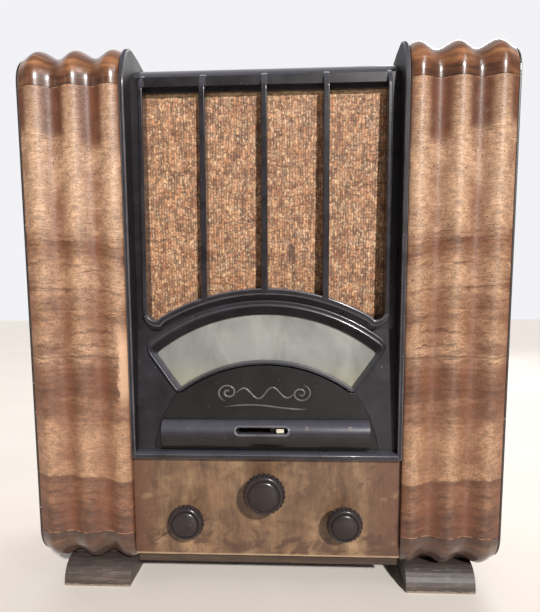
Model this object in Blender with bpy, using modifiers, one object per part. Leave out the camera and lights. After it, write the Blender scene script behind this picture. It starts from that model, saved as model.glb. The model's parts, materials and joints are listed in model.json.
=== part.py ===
"""Upright table radio of the 1930s: fluted walnut cabinet, bakelite front and the works inside.

Lengths are in millimetres until they reach a mesh, where MM turns them into metres. X runs to
the right, d is the depth behind the plane of the side boards' front edges, and z is the height
above the surface that the feet stand on.
"""

import math

import bmesh
import bpy
from mathutils import Matrix, Vector

MM = 0.001

# Overall
HALF_WIDTH = 215.0
FRONT_Y = -101.5  # world Y of d = 0, which centres the depth on the origin
REAR_D = 228.4  # rear edges of the boards
GAP = 0.3  # between neighbours that touch

# Rolled pilasters
ROLL_D = 26.0  # depth of the roll's axis
ROLL_TOP_Z = 463.0
ROLL_BOTTOM_Z = 57.0
ROLL_R = 33.0  # to the crest of a flute
ROLL_CORE_R = 3.0
RIM_R = 26.0  # side boards' rounded corners
SEAM_TOP_Z = 458.0
SEAM_BOTTOM_Z = 58.0
FLUTE_PITCH = 33.35
FLUTE_DEPTH = 6.5
OUTER_CREST_X = 199.0
PILASTER_IN_X = 123.9
PILASTER_OUT_X = 212.7
FLUTE_SAMPLES = 24

# Boards
BOARD_IN_X = 207.0
TOP_BOARD_Z = (453.0, 465.7)
CROWN_TOP_Z = 488.0
BOTTOM_BOARD_Z = (24.0, 34.7)
FOOT_TOP_Z = 23.7
FOOT_X = (131.5, 196.0)
FOOT_FRONT_D = 3.6

# Apron and its controls
APRON_D = (2.0, 14.0)
APRON_Z = (35.0, 129.9)
SIDE_CONTROL_X = 71.6
SIDE_CONTROL_Z = 73.7
TUNING_Z = 103.5
KNOB_BACK_D = 1.0
SHAFT_R = 3.0
BUSH_BORE_R = 3.1

# Bakelite front moulding
BEZEL_FRONT_D = -5.0
BEZEL_BACK_D = 24.0
BEZEL_BOTTOM_Z = 130.2
FIN_X = (119.0, 123.4)
FIN_PEAK = (26.0, 497.0)
FIN_SHOULDER_Z = 455.0
SILL_TOP_Z = 136.3
PANEL_D = 15.0
PANEL_T = 4.0
RIB_X = 54.5
RIB_T = 5.4
FRAME_RIB_T = 3.8
FRAME_RIB_X = 109.05
RIB_FOOT = (4.5, 259.0)
RIB_SHOULDER = (10.0, 457.0)
RIB_BEND_R = 18.0
ARCH_R = 190.0
ARCH_CENTRE_Z = 95.1
BAY_EDGE_X = 107.3
BAND_LIP = (20.5, 459.0)
BAND_TOP = (62.0, 493.3)
BAND_BEND_R = 26.5
BAND_T = 4.1

# Lower panel, which leans back, with the dial and the escutcheon bar
DIAL_ORIGIN = (5.0, 138.0)
DIAL_LEAN = math.radians(5.1)
DIAL_TOP_ARC = (164.0, -40.0)  # radius and centre height of the glass's upper edge
DIAL_LOW_ARC = (137.0, -55.0)
DIAL_END = ((102.3, 79.3), (89.0, 57.0))  # upper and lower corners: across, then up
DIAL_RIM = (12.5, 5.0, 4.2)  # width above, at the ends and below
PLATFORM_ARC = (104.0, -12.0)
SLOT_CENTRE_X = -2.7
SLOT_S = 19.0
INDICATOR_X = 13.7

# Works
CAPACITOR_Z = 140.0
DISC_R = 31.0
PINION_R = 5.0
POINTER_WHEEL_R = 25.6
POINTER_PINION_R = 10.4
DECK_Z = 92.0
CHASSIS_X = 150.0
CHASSIS_D = (56.0, 212.0)
SPEAKER_Z = 362.0
SPEAKER_HOLE_R = 80.0
CLOTH_D = 25.0
BAFFLE_D = (26.6, 34.6)

MATERIALS = {
    "walnut": ((0.42, 0.24, 0.11), 0.35, 0.0),
    "dark_edge": ((0.03, 0.02, 0.015), 0.5, 0.0),
    "plywood": ((0.45, 0.30, 0.17), 0.7, 0.0),
    "bakelite": ((0.025, 0.02, 0.02), 0.25, 0.0),
    "foot": ((0.12, 0.11, 0.10), 0.6, 0.0),
    "cloth": ((0.55, 0.34, 0.15), 0.8, 0.0),
    "glass": ((0.45, 0.46, 0.38), 0.4, 0.0),
    "steel": ((0.45, 0.45, 0.44), 0.4, 0.9),
    "brass": ((0.60, 0.45, 0.20), 0.35, 0.9),
    "valve_glass": ((0.20, 0.20, 0.20), 0.15, 0.0),
    "paper": ((0.10, 0.09, 0.08), 0.9, 0.0),
    "board": ((0.16, 0.09, 0.05), 0.8, 0.0),
    "ivory": ((0.60, 0.57, 0.48), 0.4, 0.0),
}

# Axes of a plate: facing the front, or lying in the plane of the sides
FACING_FRONT = Matrix.Rotation(math.radians(90.0), 4, "X")
FACING_SIDE = Matrix(((0, 0, 1, 0), (1, 0, 0, 0), (0, 1, 0, 0), (0, 0, 0, 1)))


def place(x, d, z):
    """World position, in metres, of a point given in millimetres."""
    return Vector((x, FRONT_Y + d, z)) * MM


def dial_plane():
    """Frame of the leaning panel: local Y climbs the panel and local Z leaves it forwards."""
    turn = Matrix.Rotation(math.radians(90.0) - DIAL_LEAN, 4, "X")
    return Matrix.Translation(place(0.0, *DIAL_ORIGIN)) @ turn


def clear_scene():
    for obj in list(bpy.data.objects):
        bpy.data.objects.remove(obj, do_unlink=True)


def make_collection(name):
    collection = bpy.data.collections.new(name)
    bpy.context.scene.collection.children.link(collection)
    return collection


def material(name):
    found = bpy.data.materials.get(name)
    if found:
        return found
    colour, roughness, metallic = MATERIALS[name]
    made = bpy.data.materials.new(name)
    made.use_nodes = True
    shader = made.node_tree.nodes["Principled BSDF"]
    shader.inputs["Base Color"].default_value = (*colour, 1.0)
    shader.inputs["Roughness"].default_value = roughness
    shader.inputs["Metallic"].default_value = metallic
    return made


def add(name, mesh, matrix=None, finish="walnut"):
    obj = bpy.data.objects.new(name, mesh)
    PARTS.objects.link(obj)
    if not mesh.materials:
        mesh.materials.append(material(finish))
    obj.matrix_world = matrix or Matrix.Identity(4)
    return obj


def as_helper(obj):
    """Turns an object into a cutter or a joined-on shape, which isn't a piece itself."""
    PARTS.objects.unlink(obj)
    HELPERS.objects.link(obj)
    obj.hide_render = True
    obj.display_type = "WIRE"
    return obj


def boolean(target, other, operation):
    modifier = target.modifiers.new(operation.lower(), "BOOLEAN")
    modifier.operation = operation
    modifier.object = as_helper(other)


def cut(target, *others):
    for other in others:
        boolean(target, other, "DIFFERENCE")


def join(target, *others):
    for other in others:
        boolean(target, other, "UNION")


def soften(obj, width, segments=2):
    modifier = obj.modifiers.new("edges", "BEVEL")
    modifier.width = width * MM
    modifier.segments = segments
    modifier.limit_method = "ANGLE"
    modifier.angle_limit = math.radians(40.0)


def smooth(mesh, angle=35.0):
    mesh.shade_smooth()
    mesh.set_sharp_from_angle(angle=math.radians(angle))


def mesh_of(bm, name):
    bmesh.ops.recalc_face_normals(bm, faces=bm.faces)
    mesh = bpy.data.meshes.new(name)
    bm.to_mesh(mesh)
    bm.free()
    return mesh


def box(name, x, d, z, finish="walnut", edge=0.0):
    """Box from its limits along x, d and z."""
    low, high = place(x[0], d[0], z[0]), place(x[1], d[1], z[1])
    bm = bmesh.new()
    bmesh.ops.create_cube(bm, size=1.0)
    bmesh.ops.scale(bm, vec=high - low, verts=bm.verts)
    obj = add(name, mesh_of(bm, name), Matrix.Translation((low + high) / 2), finish)
    if edge:
        soften(obj, edge)
    return obj


def panel_box(name, x, s, n, finish="bakelite"):
    """Box on the leaning panel: across, up the panel, and out of it."""
    low, high = Vector((x[0], s[0], n[0])) * MM, Vector((x[1], s[1], n[1])) * MM
    bm = bmesh.new()
    bmesh.ops.create_cube(bm, size=1.0)
    bmesh.ops.scale(bm, vec=high - low, verts=bm.verts)
    matrix = dial_plane() @ Matrix.Translation((low + high) / 2)
    return add(name, mesh_of(bm, name), matrix, finish)


def rod(name, radius, x, d, z, finish="steel", sides=32):
    """Cylinder along the depth, from d[0] to d[1]."""
    bm = bmesh.new()
    bmesh.ops.create_cone(
        bm,
        cap_ends=True,
        segments=sides,
        radius1=radius * MM,
        radius2=radius * MM,
        depth=(d[1] - d[0]) * MM,
    )
    mesh = mesh_of(bm, name)
    smooth(mesh)
    return add(name, mesh, Matrix.Translation(place(x, sum(d) / 2, z)) @ FACING_FRONT, finish)


def plate(name, loops, span, matrix, finish="walnut"):
    """Flat outline, with any further loops as holes, between two heights of its own frame."""
    curve = bpy.data.curves.new(name, "CURVE")
    curve.dimensions = "2D"
    curve.fill_mode = "BOTH"
    curve.extrude = (span[1] - span[0]) / 2 * MM
    for points in loops:
        spline = curve.splines.new("POLY")
        spline.points.add(len(points) - 1)
        for target, (u, v) in zip(spline.points, points):
            target.co = (u * MM, v * MM, 0.0, 1.0)
        spline.use_cyclic_u = True
    guide = bpy.data.objects.new(name + "_outline", curve)
    HELPERS.objects.link(guide)
    bpy.context.view_layer.update()
    graph = bpy.context.evaluated_depsgraph_get()
    mesh = bpy.data.meshes.new_from_object(guide.evaluated_get(graph))
    bpy.data.objects.remove(guide, do_unlink=True)
    bm = bmesh.new()
    bm.from_mesh(mesh)
    bpy.data.meshes.remove(mesh)
    bmesh.ops.remove_doubles(bm, verts=bm.verts, dist=1e-6)
    lift = Matrix.Translation((0.0, 0.0, sum(span) / 2 * MM))
    return add(name, mesh_of(bm, name), matrix @ lift, finish)


def side_plate(name, points, x, finish):
    """Outline in (d, z), between two values of x."""
    matrix = Matrix.Translation((0.0, FRONT_Y * MM, 0.0)) @ FACING_SIDE
    return plate(name, [points], x, matrix, finish)


def front_plate(name, loops, d, finish):
    """Outline in (x, z), between two depths."""
    matrix = Matrix.Translation((0.0, FRONT_Y * MM, 0.0)) @ FACING_FRONT
    return plate(name, loops, (-d[1], -d[0]), matrix, finish)


def turned(name, profile, origin, finish, steps=32, upright=False):
    """Turned piece: (radius, height) down the outer side; its top faces the front, or up."""
    mesh = bpy.data.meshes.new(name)
    points = [(r * MM, 0.0, h * MM) for r, h in profile]
    mesh.from_pydata(points, [(i, i + 1) for i in range(len(points) - 1)], [])
    matrix = Matrix.Translation(place(*origin))
    obj = add(name, mesh, matrix if upright else matrix @ FACING_FRONT, finish)
    modifier = obj.modifiers.new("turn", "SCREW")
    modifier.steps = steps
    modifier.render_steps = steps
    modifier.use_merge_vertices = True
    modifier.merge_threshold = 1e-5
    modifier.use_smooth_shade = True
    return obj


def arc(centre, radii, start, end, steps):
    """Points on an ellipse about centre, from one angle to another, in degrees."""
    points = []
    for i in range(steps + 1):
        angle = math.radians(start + (end - start) * i / steps)
        across = centre[0] + radii[0] * math.cos(angle)
        points.append((across, centre[1] + radii[1] * math.sin(angle)))
    return points


def pivot(name, x, d, z):
    """Empty on a joint's axis, which the pieces of a moving body hang from."""
    empty = bpy.data.objects.new(name, None)
    PARTS.objects.link(empty)
    empty.matrix_world = Matrix.Translation(place(x, d, z))
    return empty


def hang(parent, *pieces):
    bpy.context.view_layer.update()
    for piece in pieces:
        world = piece.matrix_world.copy()
        piece.parent = parent
        piece.matrix_parent_inverse = parent.matrix_world.inverted()
        piece.matrix_world = world


# ---------------------------------------------------------------- cabinet


def flute_drop(x):
    """How far the fluted surface lies below its crests."""
    phase = 2 * math.pi * (abs(x) - OUTER_CREST_X) / FLUTE_PITCH
    return FLUTE_DEPTH / 2 * (1 - math.cos(phase))


def fluted(name, side, stations):
    """Fluted moulding swept through stations of (axis d, axis z, angle from the front)."""
    bm = bmesh.new()
    rings = []
    width = PILASTER_OUT_X - PILASTER_IN_X
    across = [PILASTER_IN_X + width * i / FLUTE_SAMPLES for i in range(FLUTE_SAMPLES + 1)]
    for axis_d, axis_z, angle in stations:
        out = (-math.cos(math.radians(angle)), math.sin(math.radians(angle)))
        section = [(x, ROLL_R - flute_drop(x)) for x in across]
        section += [(across[-1], ROLL_CORE_R), (across[0], ROLL_CORE_R)]
        ring = []
        for x, reach in section:
            point = place(side * x, axis_d + out[0] * reach, axis_z + out[1] * reach)
            ring.append(bm.verts.new(point))
        rings.append(ring)
    for ring, following in zip(rings, rings[1:]):
        for i in range(len(ring)):
            j = (i + 1) % len(ring)
            bm.faces.new((ring[i], ring[j], following[j], following[i]))
    bm.faces.new(rings[0])
    bm.faces.new(reversed(rings[-1]))
    mesh = mesh_of(bm, name)
    smooth(mesh, 30.0)
    return add(name, mesh, None, "walnut")


def make_pilasters():
    straight = 0.0
    over_the_top = 90.0
    corner_steps = 7
    for label, side in (("left", -1), ("right", 1)):
        fluted(
            f"pilaster_{label}",
            side,
            [(ROLL_D, SEAM_BOTTOM_Z, straight), (ROLL_D, SEAM_TOP_Z, straight)],
        )
        rise = [over_the_top * i / corner_steps for i in range(corner_steps + 1)]
        top = [(ROLL_D, SEAM_TOP_Z + GAP, straight)]
        top += [(ROLL_D, ROLL_TOP_Z, angle) for angle in rise]
        fluted(f"pilaster_top_corner_{label}", side, top)
        bottom = [(ROLL_D, SEAM_BOTTOM_Z - GAP, straight)]
        bottom += [(ROLL_D, ROLL_BOTTOM_Z, -angle) for angle in rise]
        fluted(f"pilaster_bottom_corner_{label}", side, bottom)
        run = [(ROLL_D + GAP, ROLL_TOP_Z, over_the_top), (REAR_D, ROLL_TOP_Z, over_the_top)]
        fluted(f"top_moulding_{label}", side, run)


def side_outline():
    high, low = ROLL_TOP_Z, ROLL_BOTTOM_Z
    points = arc((ROLL_D, low), (RIM_R, RIM_R), 270.0, 180.0, 8)
    points += arc((ROLL_D, high), (RIM_R, RIM_R), 180.0, 90.0, 8)
    return points + [(REAR_D, high + RIM_R), (REAR_D, low - RIM_R)]


def make_side_boards():
    """Each side board is thick behind the mouldings and thin beside them."""
    thin_x = PILASTER_OUT_X + GAP
    inner_d = (ROLL_D + GAP, REAR_D - 0.5)
    inner_z = (BOTTOM_BOARD_Z[1] + GAP, TOP_BOARD_Z[1] - 0.2)
    for label, side in (("left", -1), ("right", 1)):
        span = sorted((side * thin_x, side * HALF_WIDTH))
        board = side_plate(f"side_board_{label}", side_outline(), span, "dark_edge")
        core_x = sorted((side * BOARD_IN_X, side * (thin_x + 0.5)))
        join(board, box(f"side_core_{label}", core_x, inner_d, inner_z))


def make_boards():
    """The top board carries a raised middle, narrower where it meets the fins. The bottom
    board has a tongue under the apron, between the pilasters."""
    inside = BOARD_IN_X - GAP
    top = box("top_board", (-inside, inside), (35.0, REAR_D), TOP_BOARD_Z)
    narrow, wide = FIN_X[0] - GAP, PILASTER_IN_X - GAP
    front, shoulder, rear = BAND_TOP[0] + 1.4, 66.4, REAR_D - 0.5
    half = [(narrow, front), (narrow, shoulder + 1.0), (wide, shoulder), (wide, rear)]
    outline = half + [(-x, d) for x, d in reversed(half)]
    flat = Matrix.Translation((0.0, FRONT_Y * MM, 0.0))
    join(top, plate("top_crown", [outline], (TOP_BOARD_Z[1] - 1.0, CROWN_TOP_Z), flat))
    reach, tongue_d, step_d = PILASTER_OUT_X, 10.0, ROLL_D + GAP
    half = [(wide, tongue_d), (wide, step_d + 1.0), (reach, step_d), (reach, REAR_D)]
    outline = half + [(-x, d) for x, d in reversed(half)]
    plate("bottom_board", [outline], BOTTOM_BOARD_Z, flat)


def make_apron():
    edge = PILASTER_IN_X - GAP
    apron = box("apron_panel", (-edge, edge), APRON_D, APRON_Z)
    hole_r = 5.5
    through = (APRON_D[0] - 2.0, APRON_D[1] + 2.0)
    places = ((0.0, TUNING_Z), (-SIDE_CONTROL_X, SIDE_CONTROL_Z), (SIDE_CONTROL_X, SIDE_CONTROL_Z))
    for number, (x, z) in enumerate(places):
        cut(apron, rod(f"apron_hole_{number}", hole_r, x, through, z))


def make_feet():
    """Quarter-round blocks: the front pair curves to the front, the rear pair to the rear."""
    lip = 1.5
    curve_d = 22.0
    length = 60.0
    top = FOOT_TOP_Z
    curve = arc((curve_d, lip), (curve_d, top - lip), 180.0, 90.0, 8)
    points = [(0.0, 0.0)] + curve + [(length, top), (length, 0.0)]
    rear_end = REAR_D - 2.0
    for label, side in (("left", -1), ("right", 1)):
        x = sorted((side * FOOT_X[0], side * FOOT_X[1]))
        front = [(FOOT_FRONT_D + u, v) for u, v in points]
        side_plate(f"front_foot_{label}", front, x, "foot")
        rear = [(rear_end - u, v) for u, v in reversed(points)]
        side_plate(f"rear_foot_{label}", rear, x, "foot")


def make_rear_cover():
    """Vented cover between the boards, with holes for the sockets."""
    edge = BOARD_IN_X - GAP
    d = (REAR_D - 3.3, REAR_D - 0.3)
    z = (BOTTOM_BOARD_Z[1] + GAP, TOP_BOARD_Z[0] - GAP)
    cover = box("rear_cover", (-edge, edge), d, z, "board")
    slot_r, slot_half, pitch, rows = 3.0, 60.0, 16.0, 8
    through = (d[0] - 2.0, d[1] + 2.0)
    for first_z in (150.0, 300.0):
        for row in range(rows):
            z = first_z + pitch * row
            right = arc((slot_half, z), (slot_r, slot_r), -90.0, 90.0, 3)
            left = arc((-slot_half, z), (slot_r, slot_r), 90.0, 270.0, 3)
            name = f"vent_{first_z:.0f}_{row}"
            cut(cover, front_plate(name, [right + left], through, "board"))
    inlet = box("inlet_hole", (-118.0, -82.0), through, (54.0, 84.0))
    aerial = box("aerial_hole", (72.0, 138.0), through, (56.0, 82.0))
    cut(cover, inlet, aerial)


def make_rear_latches():
    """Turn buttons on the side boards, whose arms lie across the cover's edges."""
    z, arm_reach = 250.0, 18.0
    d = (REAR_D + GAP, REAR_D + 3.1)
    for label, side in (("left", -1), ("right", 1)):
        x = side * (BOARD_IN_X + 3.4)
        latch = rod(f"rear_latch_{label}", 4.0, x, d, z, "brass", 16)
        arm_x = sorted((x, x - side * arm_reach))
        arm_d = (d[0] + 0.2, d[1] - 0.4)
        join(latch, box(f"latch_arm_{label}", arm_x, arm_d, (z - 3.5, z + 3.5), "brass"))
        hang(pivot(f"latch_pivot_{label}", x, d[0], z), latch)


# ---------------------------------------------------------------- bakelite front


def fin_outline():
    centre = (FIN_PEAK[0], FIN_SHOULDER_Z)
    reach = (FIN_PEAK[0] - BEZEL_FRONT_D, FIN_PEAK[1] - FIN_SHOULDER_Z)
    points = [(BEZEL_FRONT_D, BEZEL_BOTTOM_Z)] + arc(centre, reach, 180.0, 90.0, 12)
    points += [(46.0, 496.3), (66.0, 493.7), (66.0, 486.0), (56.0, 476.0)]
    return points + [(BEZEL_BACK_D, 466.5), (BEZEL_BACK_D, BEZEL_BOTTOM_Z)]


def rib_outline(foot_z):
    """Rib standing proud of the panel, whose round top dives into the band."""
    foot_d, from_z = RIB_FOOT
    shoulder_d, shoulder_z = RIB_SHOULDER
    lean = (shoulder_d - foot_d) / (shoulder_z - from_z)
    foot = (foot_d + (foot_z - from_z) * lean, foot_z)
    centre = (shoulder_d + RIB_BEND_R, shoulder_z)
    crown = arc(centre, (RIB_BEND_R, RIB_BEND_R), 180.0, 90.0, 8)
    inside_band = [(29.5, 475.0), (25.6, 468.0), (23.6, 462.0)]
    return [foot] + crown + inside_band + [(23.6, foot_z)]


def band_outline():
    """Strip that rises from the lip above the cloth, bends, and slopes up to the top edge."""
    centre = (BAND_LIP[0] + BAND_BEND_R, BAND_LIP[1])
    slope = 68.7
    inner_r = BAND_BEND_R - BAND_T
    outer = arc(centre, (BAND_BEND_R, BAND_BEND_R), 180.0, 180.0 - slope, 8)
    inner = arc(centre, (inner_r, inner_r), 180.0 - slope, 180.0, 8)
    return outer + [BAND_TOP, (BAND_TOP[0] + 1.0, BAND_TOP[1] - BAND_T)] + inner


def arch_z(x, radius=ARCH_R):
    return ARCH_CENTRE_Z + math.sqrt(radius * radius - x * x)


def bay_outline(edge_x, radius, corner, top_z):
    """Grille opening: straight sides, arched bottom and rounded lower corners."""
    inner_x = edge_x - corner
    foot_z = arch_z(inner_x, radius)
    tilt = math.degrees(math.asin(inner_x / radius))
    centre = (inner_x, foot_z + corner)
    right = arc(centre, (corner, corner), -90.0 - tilt * 0.6, 0.0, 6)
    arch = [(x, arch_z(x, radius)) for x in
            [inner_x * 0.93 * (1 - 2 * i / 20) for i in range(21)]]
    left = [(-x, z) for x, z in reversed(right)]
    return [(edge_x, top_z)] + right[::-1] + arch + left[::-1] + [(-edge_x, top_z)]


def bend(start, corner, end, steps=4):
    """Points that round a corner, from start to end."""
    points = []
    for i in range(steps + 1):
        t = i / steps
        weights = ((1 - t) ** 2, 2 * t * (1 - t), t * t)
        points.append(tuple(sum(w * p[axis] for w, p in zip(weights, (start, corner, end)))
                            for axis in (0, 1)))
    return points


def dial_fan(share, margin=0.0):
    """Fan outline of the dial's opening, grown by a share of the rim's width and by a margin."""
    above, beside, below = [share * width + margin for width in DIAL_RIM]
    (top_x, low_x), (top_s, low_s) = DIAL_END
    lean = math.atan2(top_x - low_x, top_s - low_s)
    start = (low_x + beside * math.cos(lean), low_s - beside * math.sin(lean))
    climb = (math.sin(lean), math.cos(lean))

    def end_corner(radius, centre_s):
        """Where the line along the fan's end crosses an arc."""
        x, s = start[0], start[1] - centre_s
        b = x * climb[0] + s * climb[1]
        t = math.sqrt(b * b - (x * x + s * s - radius * radius)) - b
        return start[0] + t * climb[0], start[1] + t * climb[1]

    steps = 20
    top_r, top_c = DIAL_TOP_ARC[0] + above, DIAL_TOP_ARC[1]
    low_r, low_c = DIAL_LOW_ARC[0] - below, DIAL_LOW_ARC[1]
    top, low = end_corner(top_r, top_c), end_corner(low_r, low_c)
    top_ease, low_ease = 2.0 + 9.0 * share, 1.5 + 5.0 * share
    half = math.degrees(math.asin(top[0] / top_r) - top_ease / top_r)
    top_arc = arc((0.0, top_c), (top_r, top_r), 90.0, 90.0 - half, steps // 2)
    half = math.degrees(math.asin(low[0] / low_r) - low_ease / low_r)
    low_arc = arc((0.0, low_c), (low_r, low_r), 90.0 - half, 90.0, steps // 2)
    below_top = (top[0] - climb[0] * top_ease, top[1] - climb[1] * top_ease)
    above_low = (low[0] + climb[0] * low_ease, low[1] + climb[1] * low_ease)
    right = top_arc[:-1] + bend(top_arc[-1], top, below_top)
    right += bend(above_low, low, low_arc[0]) + low_arc[1:]
    return right + [(-x, s) for x, s in right[-2:0:-1]]


def make_bezel():
    bezel = front_plate(
        "front_bezel",
        [
            [(-121.0, 242.0), (121.0, 242.0), (121.0, 470.0), (-121.0, 470.0)],
            bay_outline(BAY_EDGE_X, ARCH_R, 7.0, 462.0),
        ],
        (PANEL_D, PANEL_D + PANEL_T),
        "bakelite",
    )
    lower = panel_box("lower_panel", (-120.8, 120.8), (-4.0, 110.0), (-PANEL_T, 0.0))
    join(bezel, lower)
    radius, centre_s = PLATFORM_ARC
    foot_s = 0.3
    half = math.degrees(math.acos((foot_s - centre_s) / radius))
    disc = arc((0.0, centre_s), (radius, radius), 90.0 + half, 90.0 - half, 32)
    join(bezel, plate("platform", [disc], (-1.0, 2.0), dial_plane(), "bakelite"))
    sill_d = (BEZEL_FRONT_D + 0.1, BEZEL_BACK_D - 0.5)
    join(bezel, box("sill", (-121.2, 121.2), sill_d, (BEZEL_BOTTOM_Z + 0.1, SILL_TOP_Z)))
    outer = bay_outline(FRAME_RIB_X + 1.7, ARCH_R - 6.0, 12.0, 300.0)
    inner = bay_outline(BAY_EDGE_X + 0.1, ARCH_R, 7.0, 300.0)
    bead = outer + inner[::-1]
    join(bezel, front_plate("grille_bead", [bead], (6.0, PANEL_D + 1.0), "bakelite"))
    for label, side in (("left", -1), ("right", 1)):
        x = sorted((side * FIN_X[0], side * FIN_X[1]))
        join(bezel, side_plate(f"fin_{label}", fin_outline(), x, "bakelite"))
    join(bezel, side_plate("band", band_outline(), (-120.6, 120.6), "bakelite"))
    for column in (-2, -1, 0, 1, 2):
        x = column * RIB_X
        foot_z = 262.0 if abs(column) == 2 else arch_z(x) - 4.0
        thickness = FRAME_RIB_T if abs(column) == 2 else RIB_T
        span = (x - thickness / 2, x + thickness / 2)
        join(bezel, side_plate(f"rib_{column + 2}", rib_outline(foot_z), span, "bakelite"))
    hole = dial_fan(1.0, GAP + 0.1)
    cut(bezel, plate("dial_hole", [hole], (-20.0, 20.0), dial_plane(), "bakelite"))
    slot = panel_box("indicator_hole", (-24.0, 21.0), (SLOT_S - 4.2, SLOT_S + 0.8), (-9.0, 9.0))
    cut(bezel, slot)


def make_dial():
    """Fan-shaped frame with a sloping inner wall, and the frosted glass behind it."""
    sections = ((1.0, -4.0), (1.0, 3.6), (0.85, 5.0), (0.6, 5.0), (0.0, -3.0), (0.0, -4.0))
    bm = bmesh.new()
    rings = []
    for share, n in sections:
        ring = [bm.verts.new(Vector((x, s, n)) * MM) for x, s in dial_fan(share)]
        rings.append(ring)
    for ring, following in zip(rings, rings[1:] + rings[:1]):
        for i in range(len(ring)):
            j = (i + 1) % len(ring)
            bm.faces.new((ring[i], ring[j], following[j], following[i]))
    add("dial_frame", mesh_of(bm, "dial_frame"), dial_plane(), "bakelite")
    plate("dial_glass", [dial_fan(0.8)], (-6.8, -4.4), dial_plane(), "glass")


def make_escutcheon():
    """Half-round bar across the lower panel, with a long slot and its indicator."""
    low_s, high_s, back_n, reach = 0.7, 27.0, 2.4, 8.4
    middle = (low_s + high_s) / 2
    half = (high_s - low_s) / 2
    front = arc((back_n + 2.0, middle), (reach, half), -90.0, 90.0, 12)
    profile = [(back_n, low_s)] + front + [(back_n, high_s)]
    turn = Matrix(((0, 0, 1, 0), (0, 1, 0, 0), (-1, 0, 0, 0), (0, 0, 0, 1)))
    flipped = [(-n, s) for n, s in reversed(profile)]
    bar = plate("escutcheon_bar", [flipped], (-94.5, 94.5), dial_plane() @ turn, "bakelite")
    long_half, slot_r = 20.7, 2.9
    centre = (SLOT_CENTRE_X, SLOT_S - 1.0)
    right = arc((centre[0] + long_half, centre[1]), (slot_r, slot_r), -90.0, 90.0, 6)
    left = arc((centre[0] - long_half, centre[1]), (slot_r, slot_r), 90.0, 270.0, 6)
    cut(bar, plate("bar_slot", [right + left], (-2.0, 30.0), dial_plane(), "bakelite"))
    x = (INDICATOR_X - 3.5, INDICATOR_X + 3.5)
    tab = panel_box("band_indicator", x, (SLOT_S - 3.4, SLOT_S + 0.2), (-5.5, 9.0), "ivory")
    slider = panel_box("slider", (x[0] - 6.0, x[1] + 6.0), (SLOT_S - 8.0, SLOT_S + 5.0), (-7.5, -4.6))
    join(tab, slider)


# ---------------------------------------------------------------- controls and drive


def knob_profile(radius, height):
    """Domed centre, a step, a ring and a thick rim, narrowing to a hub behind; bored behind."""
    dome_r = radius * 0.62
    points = [(0.0, height)]
    points += [(dome_r * math.sin(a), height - 2.2 * (1 - math.cos(a)))
               for a in [math.radians(18.0 * i) for i in range(1, 6)]]
    points += [
        (dome_r, height - 3.8),
        (radius * 0.70, height - 3.8),
        (radius * 0.74, height - 2.6),
        (radius * 0.86, height - 2.8),
        (radius * 0.95, height - 4.6),
        (radius, height - 7.0),
        (radius, height - 9.5),
        (radius * 0.60, 0.0),
        (SHAFT_R + GAP, 0.0),
        (SHAFT_R + GAP, height * 0.6),
        (0.0, height * 0.6),
    ]
    return points


def make_control(label, radius, height, x, z, shaft_end):
    """Knob and shaft on one axis, hung from an empty there."""
    origin = (x, KNOB_BACK_D, z)
    knob = turned(f"{label}_knob", knob_profile(radius, height), origin, "bakelite", 30)
    start = KNOB_BACK_D - height * 0.6 + GAP
    shaft = rod(f"{label}_shaft", SHAFT_R, x, (start, shaft_end), z)
    axis = pivot(f"{label}_axis", x, KNOB_BACK_D, z)
    hang(axis, knob, shaft)
    return axis


def bored(obj, radius, x, d, z):
    cut(obj, rod(obj.name + "_bore", radius, x, (d[0] - 1.0, d[1] + 1.0), z))


def make_controls():
    tuning = make_control("tuning", 19.0, 29.5, 0.0, TUNING_Z, 76.0)
    pinion_d = (68.0, 73.0)
    pinion = rod("drive_pinion", PINION_R, 0.0, pinion_d, TUNING_Z, "brass")
    bored(pinion, SHAFT_R + GAP, 0.0, pinion_d, TUNING_Z)
    hang(tuning, pinion)
    make_control("volume", 16.5, 23.0, -SIDE_CONTROL_X, SIDE_CONTROL_Z, 66.0)
    make_control("wave_change", 16.5, 23.0, SIDE_CONTROL_X, SIDE_CONTROL_Z, 66.0)
    behind_wall = (CHASSIS_D[0] + 1.5 + GAP, CHASSIS_D[0] + 14.0)
    for name, x in (("volume_potentiometer", -SIDE_CONTROL_X), ("wave_switch", SIDE_CONTROL_X)):
        body = rod(name, 13.0, x, behind_wall, SIDE_CONTROL_Z)
        bored(body, BUSH_BORE_R, x, behind_wall, SIDE_CONTROL_Z)


def make_tuning_support():
    """Bracket in front of the chassis, with the bush that the pointer also turns on."""
    bracket_d = (53.6, 55.7)
    bracket = box("tuning_bracket", (-20.0, 20.0), bracket_d, (46.0, 116.0), "steel")
    bored(bracket, 5.0 + GAP, 0.0, bracket_d, TUNING_Z)
    bush_d = (34.0, 60.0)
    bush = rod("tuning_bush", 5.0, 0.0, bush_d, TUNING_Z, "brass")
    bored(bush, BUSH_BORE_R, 0.0, bush_d, TUNING_Z)


def make_pointer():
    """Pointer arm, hub and wheel in one, riding on the bush."""
    wheel_d = (43.0, 46.0)
    wheel = rod("pointer", POINTER_WHEEL_R, 0.0, wheel_d, TUNING_Z, "brass", 48)
    arm_d = (37.0, 38.2)
    hub = rod("pointer_hub", 9.0, 0.0, (arm_d[0] - 0.1, wheel_d[0] + 0.5), TUNING_Z)
    tip_z = TUNING_Z + 154.0
    arm = [(-4.0, TUNING_Z), (4.0, TUNING_Z), (0.9, tip_z), (-0.9, tip_z)]
    join(wheel, hub, front_plate("pointer_arm", [arm], arm_d, "brass"))
    bored(wheel, 5.1, 0.0, (36.0, 46.0), TUNING_Z)
    hang(pivot("pointer_axis", 0.0, 37.0, TUNING_Z), wheel)


def half_disc(radius, x, z, turn):
    """Half a disc whose middle points at the angle given."""
    return arc((x, z), (radius, radius), turn - 90.0, turn + 90.0, 12)


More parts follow.
